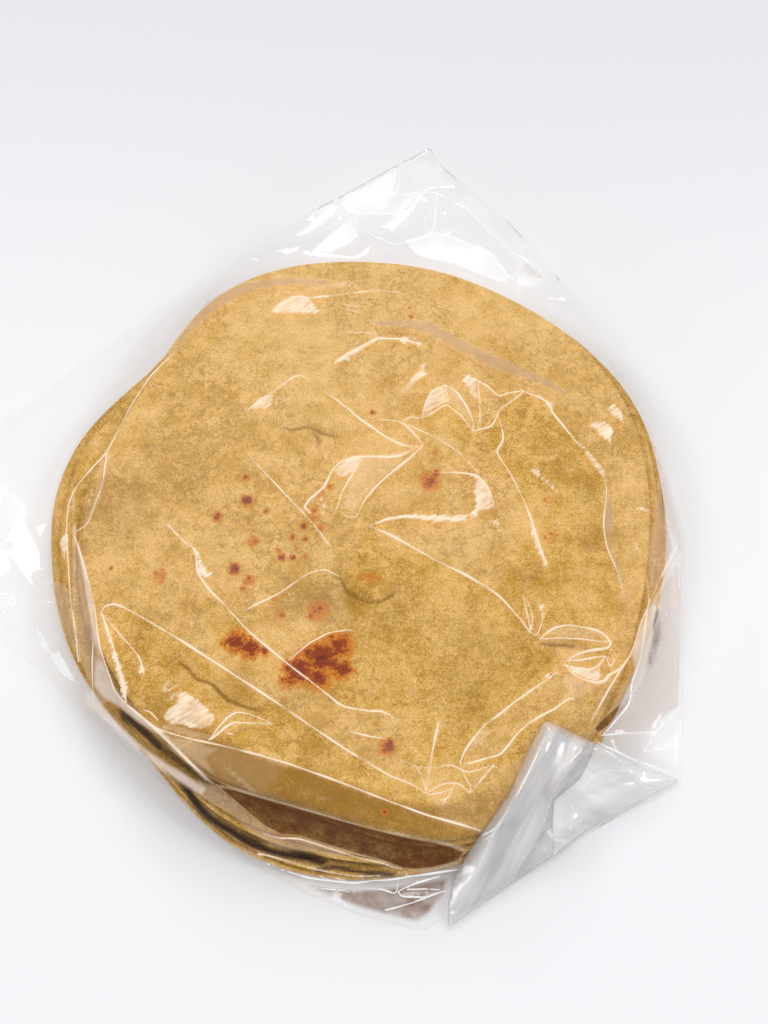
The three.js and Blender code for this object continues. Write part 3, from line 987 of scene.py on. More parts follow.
def film_height(plan):
    """Height of the bag's upper film, and how deep inside a bright crease line each place is."""
    room = np.clip(bag_gap(plan) / EDGE_ROOM, 0, 1)
    loose = smooth_step(LOOSE_FROM, LOOSE_TO, reach_of(plan) / top_edge(turn_of(plan)))
    rest = at_plan(over_film, plan)
    rise, line = crease_rise(plan, strokes)
    flap_rise, flap_line = crease_rise(plan, flap_strokes)
    small = SMALL_SHARE * crumple(plan, *SMALL_CRUMPLE) * (1 - loose)
    lively = 1 - FLAP_CALM * facing(plan, FLAP_SIDE, FLAP_SPREAD)
    large = crumple(plan, *LARGE_CRUMPLE) * loose * lively
    height = rest + rise + np.maximum(small, -SMALL_DROP) + room * (flap_rise * loose + large)
    flap_line = np.where(loose * room > FLAP_LINES_FROM, flap_line, -FIELD_LIMIT)
    return np.maximum(height, film_floor(plan, room)), np.maximum(line, flap_line)


print("film height at the middle:", np.round(film_height(np.zeros((1, 2)))[0], 1), "mm")

# %% [markdown]
# ## The bag's film
# A flat grid is trimmed to the bag's outline and its ragged edge is drawn onto it. Cells near a crease are
# divided twice, so the ridges stay crisp while plain film stays light. The underside is a second sheet, and
# both are shut along the edge into one closed bag.

# %% Film sheets


def inside(plan, outline):
    """True for places within a closed outline."""
    hit = np.zeros(len(plan), bool)
    for (x0, y0), (x1, y1) in zip(outline, np.roll(outline, -1, 0)):
        crosses = (y0 > plan[:, 1]) != (y1 > plan[:, 1])
        if crosses.any():
            x = x0 + (plan[:, 1] - y0) / (y1 - y0 + 1e-12) * (x1 - x0)
            hit ^= crosses & (plan[:, 0] < x)
    return hit


def nearest_on(outline, plan):
    """The outline's point nearest to each place."""
    found = np.empty_like(plan)
    for index, place in enumerate(plan):
        found[index] = outline[np.argmin(((outline - place) ** 2).sum(1))]
    return found


def trimmed_sheet(name, outline, spacing):
    """A flat grid cut to a closed outline, with its edge drawn onto it."""
    low, high = outline.min(0) - spacing, outline.max(0) + spacing
    cells = np.ceil((high - low) / spacing).astype(int)
    bpy.ops.object.select_all(action="DESELECT")
    bpy.ops.mesh.primitive_grid_add(x_subdivisions=int(cells[0]), y_subdivisions=int(cells[1]), size=1)
    piece = bpy.context.object
    piece.name = name
    places = points(piece) * MM
    places[:, :2] = (places[:, :2] + 0.5) * cells * spacing + low
    put_points(piece, places)
    outside = ~inside(face_centres(piece), outline)
    edit_faces(piece, outside, bpy.ops.mesh.delete, type="FACE")
    rim = rim_points(piece)
    places = points(piece)
    places[rim, :2] = nearest_on(outline, places[rim, :2])
    put_points(piece, places)
    return piece


def widest_edge(angle):
    """Distance from the middle to the outermost edge of any tortilla."""
    return np.max([edge_of(layer, angle) for layer in range(COUNT)], axis=0)


FILM_CELL = 2.0
SEAM = 2.0
DIVIDE_REACHES = (2.6, 1.1)
SNAP_REACH = 0.24
STEEP_SIDE = np.radians(np.arange(185, 305, 2.0))
film = trimmed_sheet("bag_film", bag_outline, FILM_CELL)
under = trimmed_sheet("bag_film_under", bag_outline, FILM_CELL)
steep_path = np.stack((np.cos(STEEP_SIDE), np.sin(STEEP_SIDE)), 1) * widest_edge(STEEP_SIDE)[:, None]
crease_paths = [stroke[-1] for stroke in strokes + flap_strokes] + [steep_path]
for divide_reach in DIVIDE_REACHES:
    divide_near(film, crease_paths, divide_reach, bag_gap)
snap_onto(film, crease_paths, SNAP_REACH)
print("flat sheets:", len(film.data.polygons), "and", len(under.data.polygons), "faces")

# %% [markdown]
# ## Flashes, clinging film and curtains
# Where the film stands off the bread in a small tent, a flat side of the tent mirrors the light, and this is
# painted as a cream flash, a painted highlight, with fainter painted gleams beside it. Where the film clings,
# the bread shows deep and golden, and elsewhere a thin pale layer, partly the film's milkiness and partly a
# painted reflection of the light overhead, pales it. On the loose corners the bright facets are painted
# highlights, and there and down the side whole folds lie doubled and look white and beige; where the film
# lies in shadow a dark pane is painted shade.
# Each kind is a list of outlines read from the photograph, kept on the mesh as the depth inside an outline.

# %% Outlines of flashes and folds
# painted highlights: cream patches where a flat face of tented film would mirror the light
FLASHES = {
    "loop_leg": [
        (100, 611), (106, 619), (112, 637), (117, 654), (124, 672), (129, 687), (127, 702), (121, 698),
        (119, 684), (113, 661), (107, 638), (101, 617)],
    "loop_inner": [(133, 649), (140, 658), (144, 669), (145, 675), (138, 674), (140, 665), (137, 655)],
    "comb": [
        (179, 687), (192, 695), (205, 705), (216, 716), (212, 728), (198, 730), (184, 725), (169, 725),
        (161, 715), (167, 709), (177, 702)],
    "comb_tooth": [(157, 693), (170, 686), (178, 683), (179, 687), (170, 690), (161, 696)],
    "comb_tooth_two": [(161, 700), (170, 695), (178, 690), (182, 694), (172, 699), (164, 703)],
    "comb_tooth_three": [(161, 686), (168, 680), (174, 677), (172, 681), (165, 686)],
    "cream_loop": [(338, 464), (349, 458), (363, 456), (358, 466), (352, 474), (341, 478), (334, 473)],
    "crescent": [
        (315, 495), (322, 496), (327, 504), (325, 513), (319, 518), (323, 510), (322, 503), (318, 498)],
    "lens": [
        (465, 473), (480, 475), (490, 490), (494, 509), (480, 512), (471, 527), (470, 513), (477, 503),
        (472, 493), (476, 481)],
    "lens_base": [
        (370, 525), (387, 518), (407, 514), (425, 515), (467, 514), (467, 523), (433, 523), (410, 519),
        (387, 522)],
    "lens_drop": [(487, 521), (499, 518), (504, 537), (496, 526)],
    "tent_face": [(423, 419), (425, 404), (432, 391), (445, 384), (448, 402), (435, 410)],
    "tent_peak": [(462, 380), (467, 373), (477, 380), (478, 398), (472, 398), (467, 387)],
    "tent_wedge": [(523, 390), (536, 395), (547, 402), (554, 405), (552, 414), (548, 409), (539, 399)],
    "right_wedge": [(572, 436), (591, 454), (601, 465), (606, 471), (606, 482), (596, 470), (582, 450)],
    "zig_foot": [(529, 524), (535, 525), (540, 543), (549, 564), (544, 568), (537, 554), (531, 538)],
    "pocket": [
        (566, 665), (576, 668), (588, 670), (596, 668), (600, 665), (601, 680), (597, 683), (585, 680),
        (574, 674)],
    "band_wedge": [(542, 671), (546, 673), (560, 672), (554, 677), (545, 681), (545, 677)],
    "blade_wedge": [(535, 603), (544, 602), (544, 609), (546, 615), (543, 620), (540, 612)],
    "upper_patch": [
        (271, 311), (279, 303), (294, 297), (304, 296), (311, 301), (319, 310), (316, 314), (300, 313),
        (278, 314)],
    "upper_sweep": [
        (334, 362), (348, 353), (362, 346), (376, 338), (401, 338), (412, 338), (404, 346), (398, 341),
        (379, 341), (368, 348), (355, 354), (350, 357), (354, 362), (342, 362)],
    "sweep_tip": [(413, 339), (422, 345), (419, 351)],
    "left_hook": [(247, 409), (259, 400), (272, 393), (274, 402), (269, 408), (254, 410)],
    "short_strip": [
        (394, 399), (403, 387), (412, 377), (419, 368), (422, 362), (427, 362), (425, 369), (429, 374),
        (421, 377), (411, 386), (404, 393), (396, 400)],
    "low_fleck": [(411, 748), (415, 747), (420, 750), (419, 752), (413, 752)],
    "blotch_tip": [(190, 546), (199, 552), (203, 562), (210, 577), (203, 578), (196, 572), (198, 560)],
    "blotch_ear": [(203, 576), (212, 572), (214, 577), (206, 580)],
    "right_tick": [(636, 509), (639, 505), (646, 507), (652, 511), (645, 511), (640, 510)],
    "rim_chip": [(58, 545), (64, 531), (68, 529), (68, 547), (64, 560), (62, 552)],
    "slant": [
        (530, 463), (539, 470), (552, 482), (561, 494), (558, 495), (548, 486), (537, 476), (529, 471)],
    "feather": [(580, 420), (591, 422), (606, 419), (614, 430), (611, 444), (601, 436), (593, 427)],
    "feather_two": [(606, 409), (615, 401), (623, 414), (627, 427), (615, 417)],
}
# painted sheen: fainter cream patches where the film would mirror the light
GLEAMS = {
    "comb_rim": [(158, 730), (165, 723), (190, 729), (212, 735), (225, 743), (189, 738)],
    "near_pane": [(158, 733), (190, 741), (225, 751), (205, 756), (214, 774), (196, 764), (178, 750)],
    "near_flick": [(208, 752), (216, 756), (238, 773), (258, 792), (250, 792), (228, 772)],
    "hook_fan": [(273, 393), (282, 395), (300, 400), (288, 401), (276, 399)],
    "tent_side": [(445, 384), (456, 391), (467, 407), (473, 428), (461, 415), (449, 403)],
    "leaf": [(546, 634), (566, 627), (592, 631), (607, 641), (581, 638), (561, 637)],
    "band": [(486, 724), (492, 733), (479, 746), (465, 755), (473, 739)],
    "band_top": [(560, 673), (575, 676), (590, 684), (600, 686), (580, 700), (569, 697)],
    "blade": [(523, 596), (528, 614), (531, 630), (533, 617), (529, 606)],
    "node": [(363, 458), (412, 449), (393, 470), (378, 483), (366, 497), (352, 514), (341, 508), (352, 478)],
    "top_veil": [(287, 284), (312, 285), (340, 281), (368, 279), (368, 283), (340, 287), (312, 290)],
    "low_smile": [(306, 791), (318, 796), (330, 796), (341, 792), (333, 800), (318, 800)],
}
CLINGS = {
    "loop": [
        (103, 612), (114, 606), (123, 608), (163, 630), (214, 662), (265, 697), (320, 733), (370, 766),
        (414, 786), (426, 794), (440, 818), (370, 793), (290, 763), (224, 745), (158, 729), (128, 705),
        (112, 660)],
    "right": [
        (404, 420), (426, 404), (444, 384), (473, 429), (497, 418), (523, 391), (553, 410), (606, 478),
        (604, 525), (618, 573), (622, 600), (612, 640), (576, 626), (540, 637), (523, 622), (496, 593),
        (531, 522), (503, 470), (495, 452)],
    "middle": [
        (370, 527), (402, 543), (435, 562), (496, 595), (530, 632), (560, 660), (545, 683), (512, 704),
        (473, 739), (460, 765), (430, 768), (401, 760), (398, 722), (380, 713), (342, 708), (288, 664),
        (352, 629), (341, 577)],
    "foot": [(572, 699), (543, 716), (516, 735), (501, 756), (470, 764), (495, 766), (520, 760), (545, 720)],
    "low": [(290, 766), (370, 796), (444, 822), (478, 831), (449, 843), (364, 825), (290, 803), (262, 790)],
    "char": [
        (210, 630), (235, 620), (262, 636), (290, 658), (330, 630), (356, 640), (352, 676), (310, 692),
        (270, 680), (215, 655)],
}
CURTAINS = {
    "low_left": [
        (86, 688), (110, 715), (127, 730), (143, 745), (167, 762), (182, 770), (200, 782), (208, 788),
        (202, 797), (190, 790), (170, 777), (153, 767), (130, 748), (110, 728), (86, 708)],
    "gap_seam": [
        (95, 655), (94, 688), (104, 700), (120, 709), (139, 724), (159, 737), (179, 757), (205, 781),
        (214, 784), (206, 774), (181, 750), (161, 729), (143, 717), (127, 704), (112, 682), (104, 662)],
    "left_tube": [
        (72, 495), (75, 490), (77, 520), (76, 560), (77, 620), (82, 662), (78, 662), (74, 620), (72, 560)],
    "left_slip": [
        (75, 535), (80, 545), (92, 590), (99, 640), (104, 662), (98, 655), (92, 640), (86, 600), (79, 560)],
    "right_ridge": [(684, 528), (672, 562), (658, 590), (648, 609), (653, 612), (668, 580), (686, 540)],
    "right_pane": [(668, 580), (685, 560), (683, 640), (681, 700), (672, 700), (674, 640)],
    "right_cover": [
        (648, 606), (640, 625), (630, 653), (633, 672), (632, 690), (640, 690), (646, 665), (650, 640),
        (656, 612)],
}
# painted highlights: white patches where a face of loose film would mirror the light
FACET_HIGHLIGHTS = {
    "far_left": [(335, 191), (359, 178), (400, 159), (396, 180), (383, 198), (350, 210)],
    "far_side": [(308, 255), (336, 226), (350, 212), (360, 234), (334, 252)],
    "far_edge": [(292, 240), (318, 214), (335, 196), (339, 206), (304, 238)],
    "far_lens": [
        (402, 242), (432, 231), (462, 241), (495, 252), (514, 274), (499, 280), (477, 274), (450, 263),
        (421, 256)],
    "far_right": [(527, 256), (517, 270), (519, 280), (546, 273)],
    "far_ray": [(395, 217), (407, 210), (418, 191), (424, 191), (414, 212), (404, 226)],
    "left_pane": [(5, 489), (16, 494), (26, 504), (28, 516), (22, 530), (14, 537), (6, 520)],
    "hang_hole": [
        (-4, 590), (10, 590), (18, 597), (19, 605), (12, 613), (-4, 614), (-4, 608), (8, 607), (12, 602),
        (8, 596), (-4, 596)],
    "left_chip": [(35, 628), (42, 634), (49, 646), (46, 654), (40, 648)],
    "left_pocket": [(47, 656), (58, 648), (64, 658), (77, 684), (62, 676)],
    "mouth": [(682, 703), (682, 746), (648, 748)],
    "mouth_band": [(601, 731), (640, 733), (662, 739), (683, 746), (683, 728), (660, 734)],
}
# painted shade: dark panes where the bread or the table lies in shadow under the film
SHADOW_PANES = {
    "low_band": [
        (214, 784), (250, 793), (290, 805), (330, 817), (364, 826), (408, 837), (449, 845), (466, 851),
        (456, 864), (432, 872), (404, 870), (375, 860), (345, 851), (318, 843), (298, 837), (281, 835),
        (262, 824), (245, 810), (228, 796)],
    "toe": [
        (262, 866), (300, 881), (330, 885), (360, 886), (394, 885), (430, 879), (450, 874), (447, 894),
        (430, 916), (404, 931), (382, 929), (358, 920), (330, 903), (300, 888)],
    "right_shadow": [(650, 610), (658, 622), (660, 645), (654, 668), (646, 676), (643, 668), (648, 640)],
    "mouth_shadow": [
        (592, 730), (600, 720), (612, 710), (624, 700), (632, 692), (631, 704), (622, 716), (610, 725),
        (600, 733)],
}
HAZES = {
    "low_left": [
        (200, 780), (214, 785), (228, 797), (245, 811), (262, 825), (281, 836), (300, 838), (318, 844),
        (345, 852), (345, 858), (318, 852), (300, 850), (284, 849), (270, 844), (258, 836), (240, 821),
        (220, 808), (204, 799), (192, 791)],
    "mouth_side": [(630, 675), (640, 668), (632, 700), (612, 728), (598, 733), (612, 705)],
    "right_film": [
        (656, 600), (670, 575), (684, 560), (684, 702), (646, 734), (604, 734), (630, 700), (646, 665)],
    "right_band": [
        (648, 425), (656, 440), (668, 470), (680, 510), (686, 530), (684, 556), (672, 556), (668, 520),
        (660, 470)],
    "left_run": [
        (74, 534), (86, 568), (100, 648), (112, 686), (126, 704), (112, 700), (98, 706), (88, 680),
        (80, 650), (75, 590)],
    "left_rim": [(50, 584), (64, 582), (72, 600), (76, 640), (80, 664), (66, 634), (56, 608)],
    "left_leaf": [(112, 448), (107, 470), (100, 500), (90, 522), (84, 526), (94, 500), (102, 470)],
    "far_band": [
        (205, 300), (240, 283), (290, 276), (330, 278), (330, 284), (290, 284), (245, 292), (212, 312),
        (180, 345), (168, 360), (176, 340)],
    "mauve": [
        (352, 316), (378, 323), (402, 322), (430, 322), (456, 338), (495, 357), (530, 372), (567, 391),
        (567, 397), (530, 384), (495, 371), (456, 352), (430, 338), (402, 330), (378, 329)],
    "right_side": [(657, 470), (668, 530), (671, 556), (650, 604), (648, 560), (655, 515)],
    "right_strip": [
        (606, 470), (609, 496), (614, 506), (614, 524), (609, 540), (614, 554), (622, 578), (625, 594),
        (618, 580), (611, 560), (604, 536), (603, 522), (605, 498)],
}
SKIN_LIFT = 0.6


def depth_inside(plan, outlines):
    """How deep inside the nearest outline each place is, in mm, and less than zero outside."""
    depth = np.full(len(plan), -FIELD_LIMIT)
    for corners in outlines.values():
        outline = seen_on_film(corners, SKIN_LIFT)
        box = np.all((plan > outline.min(0) - FIELD_LIMIT) & (plan < outline.max(0) + FIELD_LIMIT), axis=1)
        distance = along_stroke(plan[box], np.vstack((outline, outline[:1])))[0]
        signed = np.where(inside(plan[box], outline), distance, -distance)
        depth[box] = np.maximum(depth[box], signed)
    return np.clip(np.minimum(depth, bag_gap(plan) - SEAM), -FIELD_LIMIT, FIELD_LIMIT)


print(len(FLASHES), "flashes,", len(GLEAMS), "gleams and", len(FACET_HIGHLIGHTS), "facets")

# %% Lay the film over the stack
PANES = {
    "flash": FLASHES, "gleam": GLEAMS, "curtain": CURTAINS, "facet_highlight": FACET_HIGHLIGHTS, "shadow_pane": SHADOW_PANES, "haze": HAZES,
}
UNDER_FULL = ("loose", "cling")


def lay_film(piece, heights):
    """Puts a flat sheet at its heights, and its edge at the bag's."""
    places = points(piece)
    rim = rim_points(piece)
    places[:, 2] = heights
    places[rim, 2] = edge_height(turn_of(places[rim, :2]))
    put_points(piece, places)


def film_fields(plan, lines):
    """Every number that the film's material reads off the upper sheet, as a depth in mm."""
    fields = {name: depth_inside(plan, outlines) for name, outlines in PANES.items()}
    fields["crease"] = np.minimum(lines, bag_gap(plan) - SEAM)
    fields["loose"] = reach_of(plan) - widest_edge(turn_of(plan))
    fields["cling"] = np.maximum(depth_inside(plan, CLINGS), -top_gap(plan))
    return {name: np.clip(depth, -FIELD_LIMIT, FIELD_LIMIT) for name, depth in fields.items()}


over_plan = points(film)[:, :2]
over_heights, over_lines = film_height(over_plan)
lay_film(film, over_heights)
lay_film(under, at_plan(under_film, points(under)[:, :2]))
for name, depth in film_fields(over_plan, over_lines).items():
    write_field(film, name, depth)
    plain = FIELD_LIMIT if name in UNDER_FULL else -FIELD_LIMIT
    write_field(under, name, np.full(len(under.data.vertices), plain))
film = shut(film, under)
film.data.name = "bag_film"
film.visible_shadow = False
print("bag film:", len(film.data.polygons), "faces")

# %% [markdown]
# ## The folded mouth
# At the near right the bag's mouth is folded up over the rim: a narrow sleeve with a rolled left edge, and a
# puffed wing beside it. Both lie on the bag below them, so their shape is the bag's height plus a swell.
# Streaks run along them, because the mouth was gathered by hand before it was folded; their darker and
# lighter colour is painted shade and light.

# %% Fold and wing of the mouth
# places in the photograph with their height above the table in mm
FOLD_EDGE = [
    (545, 718, 32), (562, 722, 32), (580, 730, 32), (598, 737, 31), (592, 756, 29), (582, 774, 27),
    (567, 788, 24), (554, 801, 20), (553, 828, 9), (553, 856, 3), (520, 878, 3), (485, 902, 3), (448, 928, 3),
    (448, 905, 6), (453, 880, 12), (468, 853, 22), (488, 822, 28), (509, 791, 31), (523, 760, 32),
    (533, 739, 32),
]
FOLD_STREAKS = [
    (1.6, 5, 6, 0.5, [
        (550, 724, 36), (541, 745, 36), (528, 772, 35), (510, 805, 32), (488, 845, 22), (466, 895, 8)]),
    (1.2, 5, 4, 0.3, [(562, 732, 36), (552, 765, 35), (533, 806, 29), (508, 852, 16), (478, 895, 6)]),
    (1.0, 3, 5, 0.3, [(578, 736, 35), (571, 762, 33), (556, 786, 28), (541, 830, 14), (516, 872, 5)]),
    (1.0, 3, 3, 0.3, [(588, 742, 34), (576, 768, 31), (556, 793, 26)]),
    (0.9, 3, 3, 0.5, [(533, 742, 35), (548, 752, 36), (560, 768, 34)]),
    (0.8, 3, 3, 0.3, [(548, 800, 26), (546, 828, 14), (545, 852, 6)]),
]
WING_EDGE = [
    (600, 739, 28), (613, 747, 25), (630, 757, 20), (648, 765, 15), (668, 773, 9), (683, 779, 3),
    (660, 791, 3), (620, 811, 3), (585, 831, 3), (556, 855, 3), (540, 852, 6), (536, 828, 14),
    (540, 800, 26), (560, 770, 29), (584, 744, 29),
]
WING_STREAKS = [
    (2.6, 5, 8, 0.4, [(587, 777, 28), (597, 768, 28), (612, 763, 26), (630, 767, 22), (645, 776, 14)]),
    (2.2, 4, 6, 0.4, [(586, 778, 28), (596, 793, 22), (612, 800, 16)]),
    (1.6, 5, 5, 0.3, [(588, 778, 28), (608, 780, 23), (640, 786, 13), (662, 785, 8)]),
    (1.2, 4, 4, 0.3, [(572, 792, 23), (575, 812, 16), (568, 838, 6)]),
    (1.0, 4, 4, 0.3, [(580, 790, 24), (592, 810, 15), (590, 825, 6)]),
    (1.2, 4, 4, 0.3, [(604, 744, 28), (622, 756, 24), (646, 768, 16)]),
]
SLEEVE_CELL = 1.0
SLEEVE_STEP = 0.4
SLEEVE_GAP = 0.5
LINE_CLEAR = 0.8
FOOT, APEX = -150, -90


def in_space(path):
    """Plan places of photograph places whose heights are given."""
    path = np.asarray(path, float)
    return from_photo(path[:, :2], path[:, 2])


def closed_line(corners, step):
    """Points at even steps round a closed outline."""
    parts = []
    for start, end in zip(corners, np.roll(corners, -1, 0)):
        share = np.arange(0, 1, step / np.hypot(*(end - start)))
        parts.append(start + np.outer(share, end - start))
    return np.concatenate(parts)


class Sleeve:
    """A closed sleeve of film that lies on something, with a rolled edge and streaks."""

    def __init__(self, edge, streaks, rest, swell, roll):
        self.corners = in_space(edge)
        self.streaks = [(*shape, soften(in_space(path))) for *shape, path in streaks]
        self.rest = rest
        self.swell = swell
        self.roll = roll

    def gap(self, plan):
        """Distance from the sleeve's edge, in mm."""
        return along_stroke(plan, np.vstack((self.corners, self.corners[:1])))[0]

    def base(self, plan):
        """Height of the under sheet."""
        return self.rest(plan) + SLEEVE_GAP

    def top(self, plan):
        """Height of the upper sheet, which swells from the foot to the apex."""
        bend = 1 - (1 - np.clip(self.gap(plan) / self.roll, 0, 1)) ** 2
        near_apex = smooth_step(FOOT, APEX, plan[:, 1])
        puff = self.swell[0] + (self.swell[1] - self.swell[0]) * near_apex
        return self.base(plan) + bend * (puff + crease_rise(plan, self.streaks)[0])

    def sheet(self, name, upper):
        """One of the two sheets, with its crease lines and how far it is lifted off its edge."""
        piece = trimmed_sheet(name, closed_line(self.corners, SLEEVE_STEP), SLEEVE_CELL)
        places = points(piece)
        plan = places[:, :2]
        height = self.top(plan) if upper else self.base(plan)
        places[:, 2] = np.where(rim_points(piece), self.base(plan), height)
        put_points(piece, places)
        gap = self.gap(plan)
        line = np.where(upper & (gap > LINE_CLEAR), crease_rise(plan, self.streaks)[1], -FIELD_LIMIT)
        write_field(piece, "crease", line)
        write_field(piece, "lifted", upper * smooth_step(0, self.roll, gap))
        return piece

    def make(self, name):
        piece = shut(self.sheet(name, True), self.sheet(name + "_under", False))
        piece.data.name = name
        return piece


def on_film(plan):
    return film_height(plan)[0]


wing_shape = Sleeve(WING_EDGE, WING_STREAKS, on_film, (3.0, 4.0), 9.0)


def on_wing(plan):
    return np.where(inside(plan, wing_shape.corners), wing_shape.top(plan), on_film(plan))


fold_shape = Sleeve(FOLD_EDGE, FOLD_STREAKS, on_wing, (2.5, 6.0), 7.0)
wing = wing_shape.make("mouth_wing")
fold = fold_shape.make("mouth_fold")
print("mouth fold and wing:", len(fold.data.polygons), "and", len(wing.data.polygons), "faces")

# %% [markdown]
# ## Material helpers
# Shader maths reads best as plain expressions. One small class wraps a socket so that `1 - mask` adds a
# Math node, and one method adds any other node from its type, its settings and its sockets.

# %% Shader maths as expressions


class Value:
    """A shader number that takes part in Python expressions."""

    def __init__(self, finish, socket):
        self.finish = finish
        self.socket = socket

    def _math(self, operation, first, second):
        return self.finish.node("ShaderNodeMath", {"operation": operation}, {0: first, 1: second})

    def __add__(self, other):
        return self._math("ADD", self, other)

    def __radd__(self, other):
        return self._math("ADD", other, self)

    def __sub__(self, other):
        return self._math("SUBTRACT", self, other)

    def __rsub__(self, other):
        return self._math("SUBTRACT", other, self)

    def __mul__(self, other):
        return self._math("MULTIPLY", self, other)

    def __rmul__(self, other):
        return self._math("MULTIPLY", other, self)

    def __pow__(self, other):
        return self._math("POWER", self, other)

    def __abs__(self):
        return self._math("ABSOLUTE", self, 0.0)


class Finish:
    """A node material, built up one node at a time."""

    def __init__(self, name):
        self.material = bpy.data.materials.new(name)
        self.material.use_nodes = True
        self.tree = self.material.node_tree
        self.tree.nodes.clear()

    def node(self, kind, settings=None, sockets=None, output=0):
        made = self.tree.nodes.new(kind)
        for name, value in (settings or {}).items():
            setattr(made, name, value)
        for key, value in (sockets or {}).items():
            if isinstance(key, int):
                socket = made.inputs[key]
            else:
                socket = next(entry for entry in made.inputs if entry.enabled and entry.name == key)
            if isinstance(value, Value):
                self.tree.links.new(value.socket, socket)
            else:
                socket.default_value = value
        if isinstance(output, int):
            return Value(self, [entry for entry in made.outputs if entry.enabled][output])
        return Value(self, made.outputs[output])

    def object_place(self):
        return self.node("ShaderNodeTexCoord", output="Object")

    def noise(self, place, scale, detail=3.0, roughness=0.55):
        sockets = {"Vector": place, "Scale": scale, "Detail": detail, "Roughness": roughness}
        return self.node("ShaderNodeTexNoise", None, sockets)

    def field(self, name):
        return self.node("ShaderNodeAttribute", {"attribute_name": name}, output="Fac")

    def step(self, value, low, high):
        settings = {"interpolation_type": "SMOOTHSTEP"}
        return self.node("ShaderNodeMapRange", settings, {"Value": value, "From Min": low, "From Max": high})

    def clamped(self, value):
        return self.node("ShaderNodeClamp", None, {"Value": value})

    def blend(self, share, first, second):
        sockets = {"Factor": share, "A": first, "B": second}
        return self.node("ShaderNodeMix", {"data_type": "RGBA"}, sockets)

    def surface(self, shader):
        made = self.tree.nodes.new("ShaderNodeOutputMaterial")
        self.tree.links.new(shader.socket, made.inputs["Surface"])
        return self.material


print("material helpers ready")

# %% [markdown]
# ## Bread
# A griddled tortilla is golden, deeper in some patches and paler in others, with fine dark flecks of bran and
# spots that go from orange through red-brown to nearly black. Noise at several sizes gives the clouds and
# flecks, the field of patches deepens and pales the patches and adds painted shade in bronze, the burn field
# gives the spots, and the shade field adds painted shade. Noise breaks up their edges, so that no spot is a
# clean circle.

# %% Bread material
DEEP = (0.64, 0.335, 0.013, 1)
PALE = (0.93, 0.567, 0.178, 1)
BRONZE = (0.335, 0.154, 0.006, 1)
PEACH = (0.97, 0.655, 0.262, 1)
FLECK = (0.33, 0.145, 0.020, 1)
FLOUR = (0.96, 0.710, 0.350, 1)
AMBER = (0.70, 0.210, 0.010, 1)
BROWN = (0.30, 0.042, 0.004, 1)
BLACK = (0.095, 0.018, 0.005, 1)
DUSK = (0.045, 0.016, 0.005, 1)
# burn at which each colour starts and is full, and its share
SPOT_COLOURS = ((0.22, 0.55, 0.95, AMBER), (0.52, 0.90, 1.0, BROWN), (0.98, 1.4, 0.9, BLACK))


def spotted(finish, colour, unevenness):
    """Griddle spots over a colour, with edges that noise breaks up."""
    burn = finish.field("burn")
    ragged = (burn + unevenness) * finish.step(burn, 0.08, 0.35)
    for starts, full, share, spot_colour in SPOT_COLOURS:
        colour = finish.blend(finish.step(ragged, starts, full) * share, colour, spot_colour)
    return colour


def bread_finish():
    """Golden bread with clouds, flour, flecks of bran, cracks, griddle spots and shade."""
    finish = Finish("griddled_bread")
    place = finish.object_place()
    clouds = finish.noise(place, 26.0, 5.0, 0.6)
    stains = finish.noise(place, 92.0, 5.0, 0.65)
    ragged_edge = finish.noise(place, 260.0, 5.0, 0.7)
    grain = finish.noise(place, 640.0, 3.0, 0.7)
    flecks = finish.noise(place, 1350.0, 2.0, 0.6)
    sand = finish.noise(place, 2100.0, 1.0, 0.5)
    cracks = abs(finish.noise(place, 130.0, 4.0, 0.6) - 0.5)
    slow = (clouds - 0.5) * 0.9 + (stains - 0.5) * 2.0
    quick = (ragged_edge - 0.5) * 1.2 + (grain - 0.5) * 1.0 + (flecks - 0.5) * 1.9
    tone_and_shade = finish.field("tone_and_shade") - (clouds - 0.5) * 0.5 - (stains - 0.5) * 0.7
    colour = finish.blend(finish.step(slow + quick, -0.45, 0.45), DEEP, PALE)
    colour = finish.blend(finish.clamped(tone_and_shade * -1.0), colour, PEACH)
    colour = finish.blend(finish.step(sand, 0.50, 0.66) * 0.5, colour, FLOUR)
    colour = finish.blend(finish.step(sand, 0.50, 0.34) * 0.6, colour, DEEP)
    # painted shade: bronze at the near rim, in grooves and at the lower tortillas' edges
    colour = finish.blend(finish.clamped(tone_and_shade - quick * 0.5) * 0.9, colour, BRONZE)
    cracked = finish.step(cracks, 0.035, 0.0) * finish.step(clouds, 0.62, 0.44)
    colour = finish.blend(cracked * 0.5, colour, FLECK)
    speckled = finish.step(grain, 0.57, 0.72) * finish.step(stains, 0.62, 0.42)
    colour = finish.blend(speckled * 0.75, colour, FLECK)
    colour = finish.blend(finish.step(flecks, 0.60, 0.72) * 0.5, colour, FLECK)
    colour = spotted(finish, colour, (ragged_edge - 0.5) * 1.3 + (grain - 0.5) * 1.1 + (flecks - 0.5) * 0.6)
    # painted shade: the shade field darkens the bread between the tortillas, in grooves and at the near rim
    colour = finish.blend(finish.field("shade"), colour, DUSK)
    relief = stains * 3.0 + ragged_edge * 1.5 + grain * 0.6 + flecks * 0.3
    bump = finish.node("ShaderNodeBump", None, {"Strength": 0.7, "Distance": 0.0014, "Height": relief})
    sockets = {"Base Color": colour, "Roughness": 0.75, "Normal": bump}
    bread = finish.node("ShaderNodeBsdfPrincipled", None, sockets)
    return finish.surface(bread)


bread_material = bread_finish()
for tortilla in tortillas:
    tortilla.data.materials.append(bread_material)
print("bread on", len(tortillas), "tortillas")

# %% [markdown]
# ## Film
# Clear film passes almost all light straight on, mirrors a little head-on and much more at a glancing
# angle, and turns milky along its creases; the cream crease lines and their halo are partly that whitening
# and partly painted highlights. It is far too thin to bend light, so a Transparent shader
# mixed with gloss by the facing angle is truer than solid glass, and quick to render.

